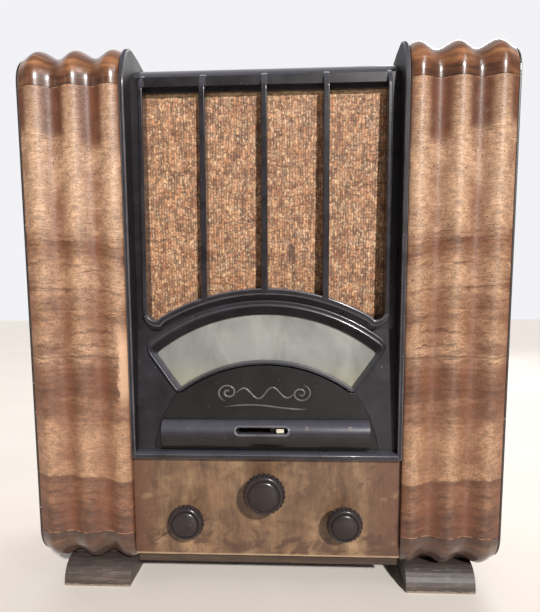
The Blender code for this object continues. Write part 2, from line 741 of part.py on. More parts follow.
def make_capacitor():
    """Frame, stator and rotor; the rotor carries the drive disc and the pointer's pinion."""
    d = (86.0, 140.0)
    half_x, low_z, high_z, wall = 36.0, DECK_Z + GAP, 172.0, 2.5
    frame = box("capacitor_frame", (-half_x, half_x), d, (low_z, low_z + 4.0), "steel")
    front = box("capacitor_front", (-half_x + 0.2, half_x - 0.2), (d[0] + 0.1, d[0] + wall),
                (low_z + 1.0, high_z), "steel")
    rear = box("capacitor_rear", (-half_x + 0.2, half_x - 0.2), (d[1] - wall, d[1] - 0.1),
               (low_z + 1.0, high_z), "steel")
    join(frame, front, rear)
    bored(frame, BUSH_BORE_R, 0.0, d, CAPACITOR_Z)
    rotor = rod("capacitor_rotor", SHAFT_R, 0.0, (42.0, 143.0), CAPACITOR_Z)
    stator = box("capacitor_stator", (20.0, 34.0), (92.0, 134.5), (162.0, 168.0), "steel")
    plates, pitch, thickness = 4, 9.0, 2.0
    for number in range(plates):
        start = 94.0 + pitch * number
        outline = half_disc(26.0, 0.0, CAPACITOR_Z, 180.0)
        vane = front_plate(f"rotor_vane_{number}", [outline], (start, start + thickness), "steel")
        join(rotor, vane)
        start += pitch / 2
        outline = [(8.0, CAPACITOR_Z - 20.0), (32.0, CAPACITOR_Z - 20.0), (32.0, 164.0), (8.0, 164.0)]
        vane = front_plate(f"stator_vane_{number}", [outline], (start, start + thickness), "steel")
        join(stator, vane)
    return rotor


def make_drive():
    """Drive disc, turned by the tuning pinion, and the small wheel that turns the pointer."""
    rotor = make_capacitor()
    wheels = []
    for name, radius, d in (("drive_disc", DISC_R, (67.5, 73.5)),
                            ("pointer_pinion", POINTER_PINION_R, (43.0, 46.0))):
        wheel = rod(name, radius, 0.0, d, CAPACITOR_Z, "brass", 48)
        bored(wheel, SHAFT_R + GAP, 0.0, d, CAPACITOR_Z)
        wheels.append(wheel)
    hang(pivot("capacitor_axis", 0.0, 42.0, CAPACITOR_Z), rotor, *wheels)


# ---------------------------------------------------------------- works


def make_chassis():
    """Steel pan, open below, with the control holes in its front wall."""
    wall = 1.5
    x = (-CHASSIS_X, CHASSIS_X)
    base_z = BOTTOM_BOARD_Z[1] + GAP
    chassis = box("chassis", x, CHASSIS_D, (base_z, DECK_Z), "steel")
    inner_x = (x[0] + wall, x[1] - wall)
    inner_d = (CHASSIS_D[0] + wall, CHASSIS_D[1] - wall)
    cut(chassis, box("chassis_hollow", inner_x, inner_d, (base_z - 5.0, DECK_Z - wall)))
    for label, side in (("left", -1), ("right", 1)):
        hole_d = (CHASSIS_D[0] - 3.0, CHASSIS_D[0] + 4.0)
        name = f"control_hole_{label}"
        cut(chassis, rod(name, 4.5, side * SIDE_CONTROL_X, hole_d, SIDE_CONTROL_Z))


def make_transformers():
    deck = DECK_Z + GAP
    core = box("mains_transformer", (72.0, 142.0), (128.0, 190.0), (deck, 158.0), "steel")
    join(core, box("mains_winding", (84.0, 130.0), (118.0, 200.0), (deck + 8.0, 146.0), "paper"))
    core = box("output_transformer", (-142.0, -100.0), (92.0, 128.0), (deck, 130.0), "steel")
    join(core, box("output_winding", (-136.0, -106.0), (84.0, 136.0), (deck + 6.0, 124.0), "paper"))


def make_cans():
    deck = DECK_Z + GAP
    coil = [(0.0, 84.0), (20.0, 84.0), (23.0, 81.0), (23.0, 0.0), (0.0, 0.0)]
    turned("coil_can", coil, (-76.0, 112.0, deck), "steel", 24, True)
    filter_can = [(0.0, 66.0), (16.0, 66.0), (18.0, 64.0), (18.0, 0.0), (0.0, 0.0)]
    turned("filter_capacitor", filter_can, (66.0, 92.0, deck), "steel", 24, True)


def make_valves():
    """Shouldered glass bulbs on round bases."""
    base_h, bulb_r, height = 26.0, 22.0, 112.0
    profile = [(0.0, height), (5.0, height - 2.0), (10.0, height - 9.0), (13.0, height - 22.0)]
    profile += [(19.0, height - 34.0), (bulb_r, height - 48.0), (20.0, base_h + 14.0)]
    profile += [(15.0, base_h + 1.0), (17.0, base_h), (17.0, 0.0), (0.0, 0.0)]
    places = {"detector_valve": -112.0, "output_valve": -48.0, "rectifier_valve": 16.0}
    for name, x in places.items():
        turned(name, profile, (x, 176.0, DECK_Z + GAP), "valve_glass", 20, True)


def make_baffle():
    edge, low_z, high_z = BOARD_IN_X - GAP, 264.0, TOP_BOARD_Z[0] - GAP
    outline = [(-edge, low_z), (edge, low_z), (edge, high_z), (-edge, high_z)]
    hole = arc((0.0, SPEAKER_Z), (SPEAKER_HOLE_R, SPEAKER_HOLE_R), 0.0, 360.0, 40)[:-1]
    front_plate("speaker_baffle", [outline, hole], BAFFLE_D, "plywood")
    cloth_d = (CLOTH_D, CLOTH_D + 1.2)
    box("grille_cloth", (-114.0, 114.0), cloth_d, (252.0, 460.0), "cloth")


def make_loudspeaker():
    """Basket, cone and magnet on the baffle's rear face; heights count forwards."""
    origin = (0.0, 120.0, SPEAKER_Z)
    face = 120.0 - BAFFLE_D[1] - GAP
    basket = [
        (84.0, face),
        (89.0, face),
        (89.0, face - 2.5),
        (85.0, face - 2.5),
        (42.0, face - 42.0),
        (36.0, face - 42.0),
        (36.0, face - 40.0),
        (40.5, face - 40.0),
        (84.0, face - 0.5),
    ]
    ring = turned("speaker_basket", basket + basket[:1], origin, "steel", 32)
    for number, turn in enumerate((45.0, 135.0)):
        name = f"basket_window_{number}"
        window = box(name, (-24.0, 24.0), (44.0, 68.0), (SPEAKER_Z - 100.0, SPEAKER_Z + 100.0))
        spin = Matrix.Rotation(math.radians(turn), 4, "Y")
        centre = Matrix.Translation(place(0.0, 0.0, SPEAKER_Z))
        window.matrix_world = centre @ spin @ centre.inverted() @ window.matrix_world
        cut(ring, window)
    cone = [
        (74.0, face - 1.0),
        (78.0, face - 1.0),
        (78.0, face - 2.4),
        (20.0, face - 38.0),
        (0.0, face - 38.0),
        (0.0, face - 36.6),
        (19.6, face - 36.6),
        (74.0, face - 1.0),
    ]
    turned("speaker_cone", cone, origin, "paper", 32)
    magnet = [(0.0, face - 42.3), (34.0, face - 42.3), (38.0, face - 46.0), (38.0, face - 84.0)]
    turned("speaker_magnet", magnet + [(0.0, face - 84.0)], origin, "steel", 32)


def make_dial_light():
    """White reflector on two legs behind the pointer, with a lamp near each end."""
    sheet_d = (62.0, 63.2)
    sheet = box("dial_reflector", (-112.0, 112.0), sheet_d, (182.0, 262.0), "ivory")
    leg_d = (sheet_d[0] + 0.1, sheet_d[1] - 0.1)
    for label, side in (("left", -1), ("right", 1)):
        leg_x = sorted((side * 42.0, side * 52.0))
        join(sheet, box(f"reflector_leg_{label}", leg_x, leg_d, (DECK_Z + GAP, 184.0), "ivory"))
    lamp = [(0.0, 20.0), (3.0, 19.2), (5.0, 16.5), (5.5, 13.0), (4.4, 9.0), (5.0, 8.6)]
    lamp += [(5.0, 0.0), (0.0, 0.0)]
    for label, side in (("left", -1), ("right", 1)):
        turned(f"dial_lamp_{label}", lamp, (side * 62.0, 61.7, 212.0), "valve_glass", 12)


def make_connections():
    """Mains inlet and the strip of aerial and earth terminals, on the chassis's rear wall."""
    rear = CHASSIS_D[1] + GAP
    face = REAR_D - 2.4
    inlet = box("mains_inlet", (-116.0, -84.0), (rear, face), (56.0, 82.0), "bakelite")
    well_d = (rear + 3.0, face + 3.0)
    cut(inlet, box("inlet_well", (-112.0, -88.0), well_d, (60.0, 78.0)))
    strip_d = (rear, rear + 6.0)
    strip = box("aerial_terminals", (74.0, 136.0), strip_d, (58.0, 80.0), "board")
    post_d = (strip_d[1] - 1.0, face)
    for number in range(4):
        x = 82.0 + 15.3 * number
        join(strip, rod(f"terminal_{number}", 3.0, x, post_d, 69.0, "brass", 12))


clear_scene()
PARTS = make_collection("table_radio")
HELPERS = make_collection("cutters_and_joined_shapes")
make_side_boards()
make_pilasters()
make_boards()
make_apron()
make_feet()
make_rear_cover()
make_rear_latches()
make_bezel()
make_dial()
make_escutcheon()
make_controls()
make_tuning_support()
make_pointer()
make_drive()
make_chassis()
make_transformers()
make_cans()
make_valves()
make_baffle()
make_loudspeaker()
make_dial_light()
make_connections()
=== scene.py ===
import functools
import json
import math

import bmesh
import bpy
import numpy as np
from mathutils import Matrix, Vector


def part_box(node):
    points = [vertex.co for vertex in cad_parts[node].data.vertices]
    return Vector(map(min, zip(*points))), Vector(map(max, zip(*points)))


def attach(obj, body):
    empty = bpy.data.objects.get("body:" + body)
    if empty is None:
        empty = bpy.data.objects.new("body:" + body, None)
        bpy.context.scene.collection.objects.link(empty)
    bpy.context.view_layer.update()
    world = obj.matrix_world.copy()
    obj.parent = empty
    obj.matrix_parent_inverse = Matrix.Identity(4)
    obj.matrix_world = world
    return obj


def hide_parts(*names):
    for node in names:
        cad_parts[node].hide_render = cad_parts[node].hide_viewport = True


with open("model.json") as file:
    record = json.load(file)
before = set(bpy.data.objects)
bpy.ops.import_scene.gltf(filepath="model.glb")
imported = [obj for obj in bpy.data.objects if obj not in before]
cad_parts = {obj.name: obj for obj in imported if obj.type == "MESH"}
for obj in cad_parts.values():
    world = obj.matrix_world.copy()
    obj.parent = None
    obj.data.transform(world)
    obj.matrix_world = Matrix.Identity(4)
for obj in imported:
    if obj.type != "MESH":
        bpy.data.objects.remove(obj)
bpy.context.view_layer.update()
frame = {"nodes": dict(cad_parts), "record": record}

MM = 0.001

# ---------------------------------------------------------------- places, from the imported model

SIDE_LOW, SIDE_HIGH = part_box("side_board_left")
FRONT_Y = SIDE_LOW.y / MM  # d = 0: the plane of the side boards' front edges
REAR_D = SIDE_HIGH.y / MM - FRONT_Y
PILASTER_LOW, PILASTER_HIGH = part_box("pilaster_right")
CLOTH_LOW, CLOTH_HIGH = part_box("grille_cloth")
APRON_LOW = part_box("apron_panel")[0]
BEZEL_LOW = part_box("front_bezel")[0]

# Lengths are in millimetres: x to the right, d behind the front plane, z above the floor
GAP = 0.3
ROLL_D, ROLL_TOP_Z, ROLL_BOTTOM_Z = 26.0, 463.0, 57.0
ROLL_R, ROLL_CORE_R = 33.0, 3.0
SEAM_TOP_Z = PILASTER_HIGH.z / MM
SEAM_BOTTOM_Z = PILASTER_LOW.z / MM
FLUTE_PITCH, FLUTE_DEPTH, OUTER_CREST_X = 33.35, 6.5, 199.0
PILASTER_IN_X, PILASTER_OUT_X = PILASTER_LOW.x / MM, PILASTER_HIGH.x / MM
ACROSS_STEPS, CORNER_STEPS = 80, 22

BEZEL_FRONT_D = BEZEL_LOW.y / MM - FRONT_Y
BEZEL_BACK_D = 24.0
BEZEL_BOTTOM_Z = BEZEL_LOW.z / MM
FIN_X = (119.0, 123.4)
FIN_PEAK = (26.0, 497.0)
FIN_SHOULDER_Z = 455.0
SILL_TOP_Z = 136.3
PANEL_D, PANEL_T = 15.0, 4.0
RIB_X, RIB_T, FRAME_RIB_T = 54.5, 5.4, 3.8
FRAME_RIB_X = 109.05
RIB_FOOT, RIB_SHOULDER, RIB_BEND_R = (4.5, 259.0), (10.0, 457.0), 18.0
ARCH_R, ARCH_CENTRE_Z, BAY_EDGE_X = 190.0, 95.1, 107.3
BAND_LIP, BAND_TOP, BAND_BEND_R, BAND_T = (20.5, 459.0), (62.0, 493.3), 26.5, 4.1

DIAL_ORIGIN, DIAL_LEAN = (5.0, 138.0), math.radians(5.1)
DIAL_TOP_ARC, DIAL_LOW_ARC = (164.0, -40.0), (137.0, -55.0)
DIAL_END = ((102.3, 79.3), (89.0, 57.0))
DIAL_RIM = (12.5, 5.0, 4.2)
PLATFORM_ARC = (104.0, -12.0)
SLOT_CENTRE_X, SLOT_S = -2.7, 19.0

FACING_FRONT = Matrix.Rotation(math.radians(90.0), 4, "X")
FACING_SIDE = Matrix(((0, 0, 1, 0), (1, 0, 0, 0), (0, 1, 0, 0), (0, 0, 0, 1)))
FRONT_FRAME = Matrix.Translation((0.0, FRONT_Y * MM, 0.0))


def place(x, d, z):
    """World position, in metres, of a point given in millimetres."""
    return Vector((x, FRONT_Y + d, z)) * MM


def dial_plane():
    """Frame of the leaning panel: local Y climbs the panel and local Z leaves it forwards."""
    turn = Matrix.Rotation(math.radians(90.0) - DIAL_LEAN, 4, "X")
    return Matrix.Translation(place(0.0, *DIAL_ORIGIN)) @ turn


# ---------------------------------------------------------------- materials


def srgb(red, green, blue):
    """Linear colour of an sRGB triple out of 255."""
    return tuple(((c / 255 + 0.055) / 1.055) ** 2.4 for c in (red, green, blue)) + (1.0,)


class Finish:
    """One procedural material and the nodes that it is built from. Points are in millimetres."""

    def __init__(self, name, **fixed):
        self.material = bpy.data.materials.new(name)
        self.material.use_nodes = True
        self.nodes = self.material.node_tree.nodes
        self.links = self.material.node_tree.links
        self.shader = self.nodes["Principled BSDF"]
        for socket, value in fixed.items():
            self.shader.inputs[socket.replace("_", " ")].default_value = value
        coordinates = self.node("TexCoord").outputs["Object"]
        self.point = self.vector("MULTIPLY", coordinates, (1000.0, 1000.0, 1000.0))
        split = self.node("SeparateXYZ", {0: self.point})
        self.x, self.y, self.z = split.outputs

    def feed(self, socket, value):
        if isinstance(value, bpy.types.NodeSocket):
            self.links.new(value, socket)
        else:
            socket.default_value = value

    def node(self, kind, feeds=None, **settings):
        made = self.nodes.new("ShaderNode" + kind)
        for key, value in settings.items():
            setattr(made, key, value)
        for key, value in (feeds or {}).items():
            self.feed(made.inputs[key], value)
        return made

    def vector(self, operation, a, b):
        return self.node("VectorMath", {0: a, 1: b}, operation=operation).outputs[0]

    def math(self, operation, a, b=0.0):
        return self.node("Math", {0: a, 1: b}, operation=operation).outputs[0]

    def times(self, first, *others):
        return functools.reduce(lambda a, b: self.math("MULTIPLY", a, b), others, first)

    def plus(self, first, *others):
        return functools.reduce(lambda a, b: self.math("ADD", a, b), others, first)

    def minus(self, a, b):
        return self.math("SUBTRACT", a, b)

    def over(self, a, b):
        return self.math("DIVIDE", a, b)

    def abs(self, a):
        return self.math("ABSOLUTE", a)

    def larger(self, first, *others):
        return functools.reduce(lambda a, b: self.math("MAXIMUM", a, b), others, first)

    def combine(self, x, y, z):
        return self.node("CombineXYZ", {0: x, 1: y, 2: z}).outputs[0]

    def stretch(self, factors, point=None):
        return self.vector("MULTIPLY", point or self.point, factors)

    def noise(self, size, detail=2.0, point=None, roughness=0.5, distortion=0.0):
        """Noise whose features are about size across, from 0 to 1."""
        feeds = {"Vector": point or self.point, "Scale": 1.0 / size, "Detail": detail}
        feeds.update({"Roughness": roughness, "Distortion": distortion})
        return self.node("TexNoise", feeds).outputs[0]

    def cells(self, size, point=None):
        """Distance to the nearest of scattered points, as a share of size."""
        feeds = {"Vector": point or self.point, "Scale": 1.0 / size}
        return self.node("TexVoronoi", feeds).outputs["Distance"]

    def ramp(self, value, stops):
        """Grey or coloured stops at positions from 0 to 1."""
        made = self.node("ValToRGB", {0: value})
        elements = made.color_ramp.elements
        while len(elements) < len(stops):
            elements.new(0.5)
        for element, (position, shade) in zip(elements, sorted(stops, key=lambda s: s[0])):
            element.position = position
            element.color = shade if isinstance(shade, tuple) else (shade, shade, shade, 1.0)
        return made.outputs[0]

    def span(self, value, low, high):
        """0 at low, 1 at high, smooth between; low may be above high."""
        made = self.node("MapRange", {0: value, 1: low, 2: high}, interpolation_type="SMOOTHSTEP")
        return made.outputs[0]

    def mix(self, share, a, b, blend="MIX"):
        made = self.nodes.new("ShaderNodeMix")
        made.data_type = "RGBA"
        made.blend_type = blend
        for index, value in ((0, share), (6, a), (7, b)):
            self.feed(made.inputs[index], value)
        return made.outputs[2]

    def tones(self, value, stops):
        """Colours out of 255 at positions from 0 to 1."""
        return self.ramp(value, [(at, srgb(*tone)) for at, tone in stops])

    def tint(self, colour, tone, share, strength=None):
        """Colour mixed with a tone out of 255, by a share and by how strong it is at most."""
        if strength is not None:
            share = self.times(share, strength)
        return self.mix(share, colour, srgb(*tone))

    def shade(self, colour, factor):
        """Colour times a grey factor."""
        grey = self.node("CombineColor", {0: factor, 1: factor, 2: factor}).outputs[0]
        return self.mix(1.0, colour, grey, "MULTIPLY")

    def scaled(self, value, low, high):
        """A value from 0 to 1 taken to low to high."""
        return self.node("MapRange", {0: value, 3: low, 4: high}).outputs[0]

    def spread(self, value, low, high):
        """The middle of a noise's range taken to low to high, so it shows at full strength."""
        return self.scaled(self.span(value, 0.30, 0.70), low, high)

    def bump(self, *layers):
        """Each layer is (height, depth in millimetres)."""
        normal = None
        for height, depth in layers:
            feeds = {"Height": height, "Distance": depth * MM, "Strength": 1.0}
            made = self.node("Bump", feeds)
            if normal:
                self.feed(made.inputs["Normal"], normal)
            normal = made.outputs[0]
        self.feed(self.shader.inputs["Normal"], normal)

    def done(self, colour, roughness=None):
        self.feed(self.shader.inputs["Base Color"], colour)
        if roughness is not None:
            self.feed(self.shader.inputs["Roughness"], roughness)
        return self.material


def lines(finish, value, low, high, centres):
    """Dark lines across a value: each is (centre, half width, strength)."""
    reach = high - low
    stops = [(0.0, 0.0)]
    for centre, half, strength in centres:
        for at, grey in ((centre - half, 0.0), (centre, strength), (centre + half, 0.0)):
            stops.append(((at - low) / reach, grey))
    share = finish.over(finish.minus(value, low), reach)
    return finish.ramp(share, stops)


def valley_of(finish, across):
    """1 in the bottom of a flute and 0 on its crest."""
    phase = finish.minus(across, OUTER_CREST_X)
    turn = finish.times(phase, 2 * math.pi / FLUTE_PITCH)
    wave = finish.math("COSINE", turn)
    return finish.node("MapRange", {0: wave, 1: 1.0, 2: -1.0}).outputs[0]


WOOD_DEPTH = 0.82  # how far age has darkened the veneer


def veneer(name):
    """Walnut veneer of the straight pilasters: figure across the flutes, book-matched about x = 0."""
    f = Finish(name, Coat_Weight=0.22, Coat_Roughness=0.34)
    across = f.abs(f.x)
    flat = f.combine(across, 0.0, f.z)
    low = f.combine(f.times(across, 0.8), 7.0, f.times(f.z, 0.35))
    sway = f.scaled(f.noise(48.0, 1.0, low), -9.0, 9.0)
    shiver = f.scaled(f.noise(9.0, 3.0, flat), -2.4, 2.4)
    lean = f.times(f.minus(across, 168.0), -0.07)
    height = f.plus(f.z, lean, f.plus(sway, shiver))
    bottom, top = 40.0, 480.0
    share = f.over(f.minus(height, bottom), top - bottom)
    zones = [
        (56, (96, 62, 46)), (72, (120, 80, 58)), (80, (104, 68, 50)), (92, (146, 102, 74)),
        (104, (138, 95, 68)), (111.0, (112, 72, 50)), (113.5, (182, 139, 105)),
        (150, (188, 144, 110)), (176, (166, 121, 90)), (197, (128, 86, 61)),
        (212, (150, 106, 78)), (224, (202, 160, 126)), (258, (172, 128, 96)),
        (296, (204, 162, 127)), (320, (160, 116, 85)), (338, (208, 166, 132)),
        (380, (214, 173, 139)), (430, (208, 166, 132)), (452, (196, 152, 118)),
    ]
    colour = f.tones(share, [((z - bottom) / (top - bottom), tone) for z, tone in zones])
    # mottle, fibres and lighter and darker streaks
    mottle = f.spread(f.noise(15.0, 4.0, flat, 0.6), 0.74, 1.16)
    fibres = f.spread(f.noise(1.0, 2.0, f.stretch((0.16, 1.0, 0.9), flat)), 0.82, 1.14)
    streaks = f.spread(f.noise(3.0, 3.0, f.stretch((0.5, 1.0, 1.0), flat), 0.65), 0.74, 1.18)
    colour = f.shade(colour, f.times(mottle, fibres, streaks))
    # fine figure lines
    upper = ((282.0, 0.9, 0.75), (311.0, 1.2, 0.35), (316.0, 1.6, 0.5), (321.0, 1.2, 0.35),
             (325.0, 1.6, 0.5), (331.0, 1.4, 0.55), (267.0, 1.3, 0.35), (259.0, 2.6, 0.5))
    lower = ((240.0, 1.0, 0.25), (224.0, 1.3, 0.85), (212.0, 1.8, 0.4), (206.0, 2.2, 0.6),
             (200.0, 1.6, 0.45), (193.0, 2.6, 0.65), (186.0, 1.6, 0.35), (112.0, 1.4, 0.8))
    foot = ((98.0, 1.5, 0.4), (88.0, 1.8, 0.5), (80.0, 2.2, 0.6), (74.0, 1.4, 0.5),
            (67.0, 1.8, 0.6), (62.0, 1.2, 0.4), (142.0, 0.8, 0.2), (160.0, 0.8, 0.2))
    drawn = f.larger(*(lines(f, height, bottom, top, sorted(s)) for s in (upper, lower, foot)))
    patchy = f.span(f.noise(26.0, 2.0, f.stretch((1.0, 1.0, 2.2), flat)), 0.34, 0.56)
    drawn = f.times(drawn, f.scaled(patchy, 0.60, 1.0))
    colour = f.tint(colour, (66, 36, 22), drawn)
    # hair lines that follow the figure, in two belts
    hair_at = f.combine(f.times(across, 0.07), 9.0, f.plus(height, shiver))
    hair = f.span(f.noise(3.4, 3.0, hair_at, 0.6), 0.55, 0.66)
    belt = f.times(f.span(f.z, 352.0, 330.0), f.span(f.z, 168.0, 188.0))
    belt = f.larger(belt, f.span(f.z, 114.0, 106.0))
    hair = f.times(belt, f.spread(f.noise(22.0, 2.0), 0.25, 0.85), hair)
    colour = f.tint(colour, (84, 48, 30), hair)
    # dark tongues that hang in the flutes under the upper seam
    valley = valley_of(f, across)
    edge = f.plus(f.times(f.minus(across, 125.0), 0.19), 403.0)
    above = f.minus(f.plus(f.z, shiver), edge)
    hung = f.span(above, -3.0, 9.0)
    stained = f.times(hung, f.scaled(f.span(valley, 0.10, 0.75), 0.16, 1.0))
    stained = f.times(stained, f.scaled(f.noise(7.0, 3.0, flat), 0.65, 1.25))
    colour = f.tint(colour, (84, 48, 32), stained)
    # cloudy brown flames that lie across the lower half
    warp = f.scaled(f.noise(14.0, 2.0, flat), -9.0, 9.0)
    flame_at = f.combine(f.times(across, 0.22), 5.0, f.plus(f.z, warp))
    flame = f.span(f.noise(15.0, 4.0, flame_at, 0.62), 0.48, 0.66)
    reach = f.times(f.span(f.z, 340.0, 235.0), f.span(f.z, 125.0, 165.0))
    flame = f.times(reach, 0.62, flame)
    colour = f.tint(colour, (96, 58, 38), flame)
    rim = f.times(f.span(f.abs(above), 1.3, 0.2), 0.35)
    colour = f.tint(colour, (110, 68, 44), rim)
    # grime and painted shade in the flutes
    grime_and_shade = f.times(valley, f.spread(f.noise(24.0, 4.0, flat), 0.30, 0.85))
    colour = f.tint(colour, (120, 66, 36), grime_and_shade)
    # pores
    dashes = f.noise(1.0, 1.0, f.stretch((0.55, 1.0, 1.15), flat))
    dense = f.scaled(f.noise(22.0, 2.0, flat), -0.05, 0.05)
    pores = f.span(f.plus(dashes, dense), 0.56, 0.70)
    colour = f.tint(colour, (74, 42, 26), pores, 0.72)
    # a lighter worn strip beside the inner edge, on the left
    left = f.span(f.x, -60.0, -80.0)
    ragged = f.plus(across, f.scaled(f.noise(5.0, 3.0, flat), -5.0, 5.0))
    inner = f.span(ragged, 133.0, 129.5)
    low_end, high_end = f.span(f.z, 172.0, 196.0), f.span(f.z, 262.0, 225.0)
    worn = f.times(left, inner, f.times(low_end, high_end))
    colour = f.tint(colour, (226, 182, 146), worn, 0.75)
    # bare edges along the two seams, with chips
    ends = f.larger(f.span(f.z, SEAM_BOTTOM_Z + 1.3, SEAM_BOTTOM_Z + 0.5),
                    f.span(f.z, SEAM_TOP_Z - 1.1, SEAM_TOP_Z - 0.3))
    chipped = f.span(f.noise(6.0, 3.0, flat), 0.42, 0.56)
    colour = f.tint(colour, (160, 116, 82), f.times(ends, chipped))
    colour = f.shade(colour, WOOD_DEPTH)
    f.bump((pores, -0.14), (fibres, 0.08), (drawn, -0.06))
    gloss = f.scaled(f.noise(20.0, 3.0, flat), 0.38, 0.62)
    return f.done(colour, gloss)


def roll_veneer(name, back, base):
    """Darker, glossier veneer of the rolled corners and the mouldings on top. back is how the
    figure runs on behind: 1 upwards, -1 downwards."""
    f = Finish(name, Coat_Weight=0.75, Coat_Roughness=0.16)
    across = f.abs(f.x)
    depth = f.larger(f.minus(f.y, FRONT_Y), 0.0)
    run = f.plus(f.z, f.times(depth, 0.9 * back))
    flat = f.combine(across, 0.0, run)
    sway = f.scaled(f.noise(40.0, 1.0, f.stretch((1.0, 1.0, 0.4), flat)), -7.0, 7.0)
    warped = f.combine(f.times(across, 0.10), 3.0, f.plus(run, sway))
    figure = f.noise(9.0, 4.0, warped, 0.6)
    dark, middle, light = base
    colour = f.tones(figure, [(0.34, dark), (0.50, middle), (0.66, light)])
    fibres = f.scaled(f.noise(1.0, 2.0, f.stretch((0.12, 1.0, 1.1), flat)), 0.84, 1.15)
    mottle = f.spread(f.noise(11.0, 4.0, flat, 0.6), 0.70, 1.22)
    colour = f.shade(colour, f.times(fibres, mottle))
    valley = valley_of(f, across)
    # grime and painted shade in the flutes
    grime_and_shade = f.times(valley, f.scaled(f.noise(16.0, 3.0, flat), 0.15, 0.70))
    colour = f.tint(colour, (70, 44, 32), grime_and_shade)
    pores = f.span(f.noise(1.0, 1.0, f.stretch((0.55, 1.0, 1.15), flat)), 0.63, 0.75)
    colour = f.tint(colour, (60, 36, 24), pores, 0.5)
    seam = SEAM_TOP_Z if back > 0 else SEAM_BOTTOM_Z
    near = f.span(f.abs(f.minus(f.z, seam)), 2.4, 0.6)
    dirt = f.times(near, f.scaled(f.noise(8.0, 3.0, flat), 0.2, 0.8))
    colour = f.tint(colour, (60, 40, 30), dirt)
    f.bump((pores, -0.06), (fibres, 0.03))
    return f.done(colour, f.scaled(f.noise(12.0, 3.0, flat), 0.22, 0.42))


def apron_veneer(name):
    """Olive-brown veneer with upright grain, water stains and a pale lower edge."""
    f = Finish(name, Coat_Weight=0.18, Coat_Roughness=0.35)
    upright = f.stretch((1.0, 1.0, 0.06))
    sway = f.scaled(f.noise(60.0, 2.0), -10.0, 10.0)
    warped = f.combine(f.plus(f.x, sway), 0.0, f.times(f.z, 0.30))
    figure = f.noise(26.0, 4.0, warped, 0.62)
    stops = [(0.30, (84, 56, 40)), (0.46, (122, 90, 64)), (0.58, (140, 108, 78)),
             (0.74, (160, 126, 92))]
    colour = f.tones(figure, stops)
    fine = f.spread(f.noise(0.9, 3.0, upright, 0.6), 0.84, 1.10)
    weft = f.scaled(f.noise(1.0, 1.0, f.stretch((0.25, 1.0, 1.0))), 0.90, 1.10)
    colour = f.shade(colour, f.times(fine, weft))
    cloud = f.spread(f.noise(19.0, 4.0, None, 0.62, 0.8), 0.72, 1.14)
    colour = f.shade(colour, cloud)
    # redder, darker ends
    ends = f.span(f.abs(f.plus(f.x, sway)), 86.0, 116.0)
    colour = f.tint(colour, (98, 60, 42), ends, 0.80)
    # stains, denser towards the bottom
    blotch = f.noise(17.0, 4.0, f.stretch((1.0, 1.0, 1.3)), 0.6, 0.6)
    low = f.scaled(f.span(f.z, 95.0, 40.0), -0.10, 0.045)
    stain = f.span(f.plus(blotch, low), 0.50, 0.64)
    colour = f.tint(colour, (82, 54, 38), stain, 0.85)
    pale = f.span(f.noise(23.0, 3.0, f.stretch((1.0, 3.0, 1.6))), 0.58, 0.74)
    colour = f.tint(colour, (190, 156, 118), pale, 0.35)
    # fine cracks and scratches
    crack_at = f.cells(21.0, f.vector("ADD", f.point, f.combine(
        f.scaled(f.noise(8.0, 3.0), -6.0, 6.0), 0.0, f.scaled(f.noise(9.0, 2.0), -6.0, 6.0))))
    scratch = f.noise(1.0, 1.0, f.stretch((0.05, 1.0, 0.9)))
    scratch = f.times(f.span(scratch, 0.70, 0.78), 0.4)
    colour = f.tint(colour, (80, 52, 36), scratch)
    crack = f.times(f.span(crack_at, 0.86, 0.95), 0.45)
    colour = f.tint(colour, (70, 46, 34), crack)
    dashes = f.span(f.noise(1.0, 1.0, f.stretch((1.3, 1.0, 0.35))), 0.62, 0.74)
    colour = f.tint(colour, (84, 56, 38), dashes, 0.45)
    # pale lower edge: bare wood, and a painted highlight along the rounded bottom edge
    foot_z = APRON_LOW.z / MM
    bare_wood_and_highlight = f.times(f.span(f.z, foot_z + 2.6, foot_z + 1.2), f.scaled(f.noise(10.0, 3.0), 0.35, 1.0))
    colour = f.tint(colour, (186, 158, 124), bare_wood_and_highlight)
    colour = f.shade(colour, WOOD_DEPTH)
    f.bump((dashes, -0.08), (fine, 0.06), (stain, -0.05))
    return f.done(colour, f.scaled(blotch, 0.36, 0.62))


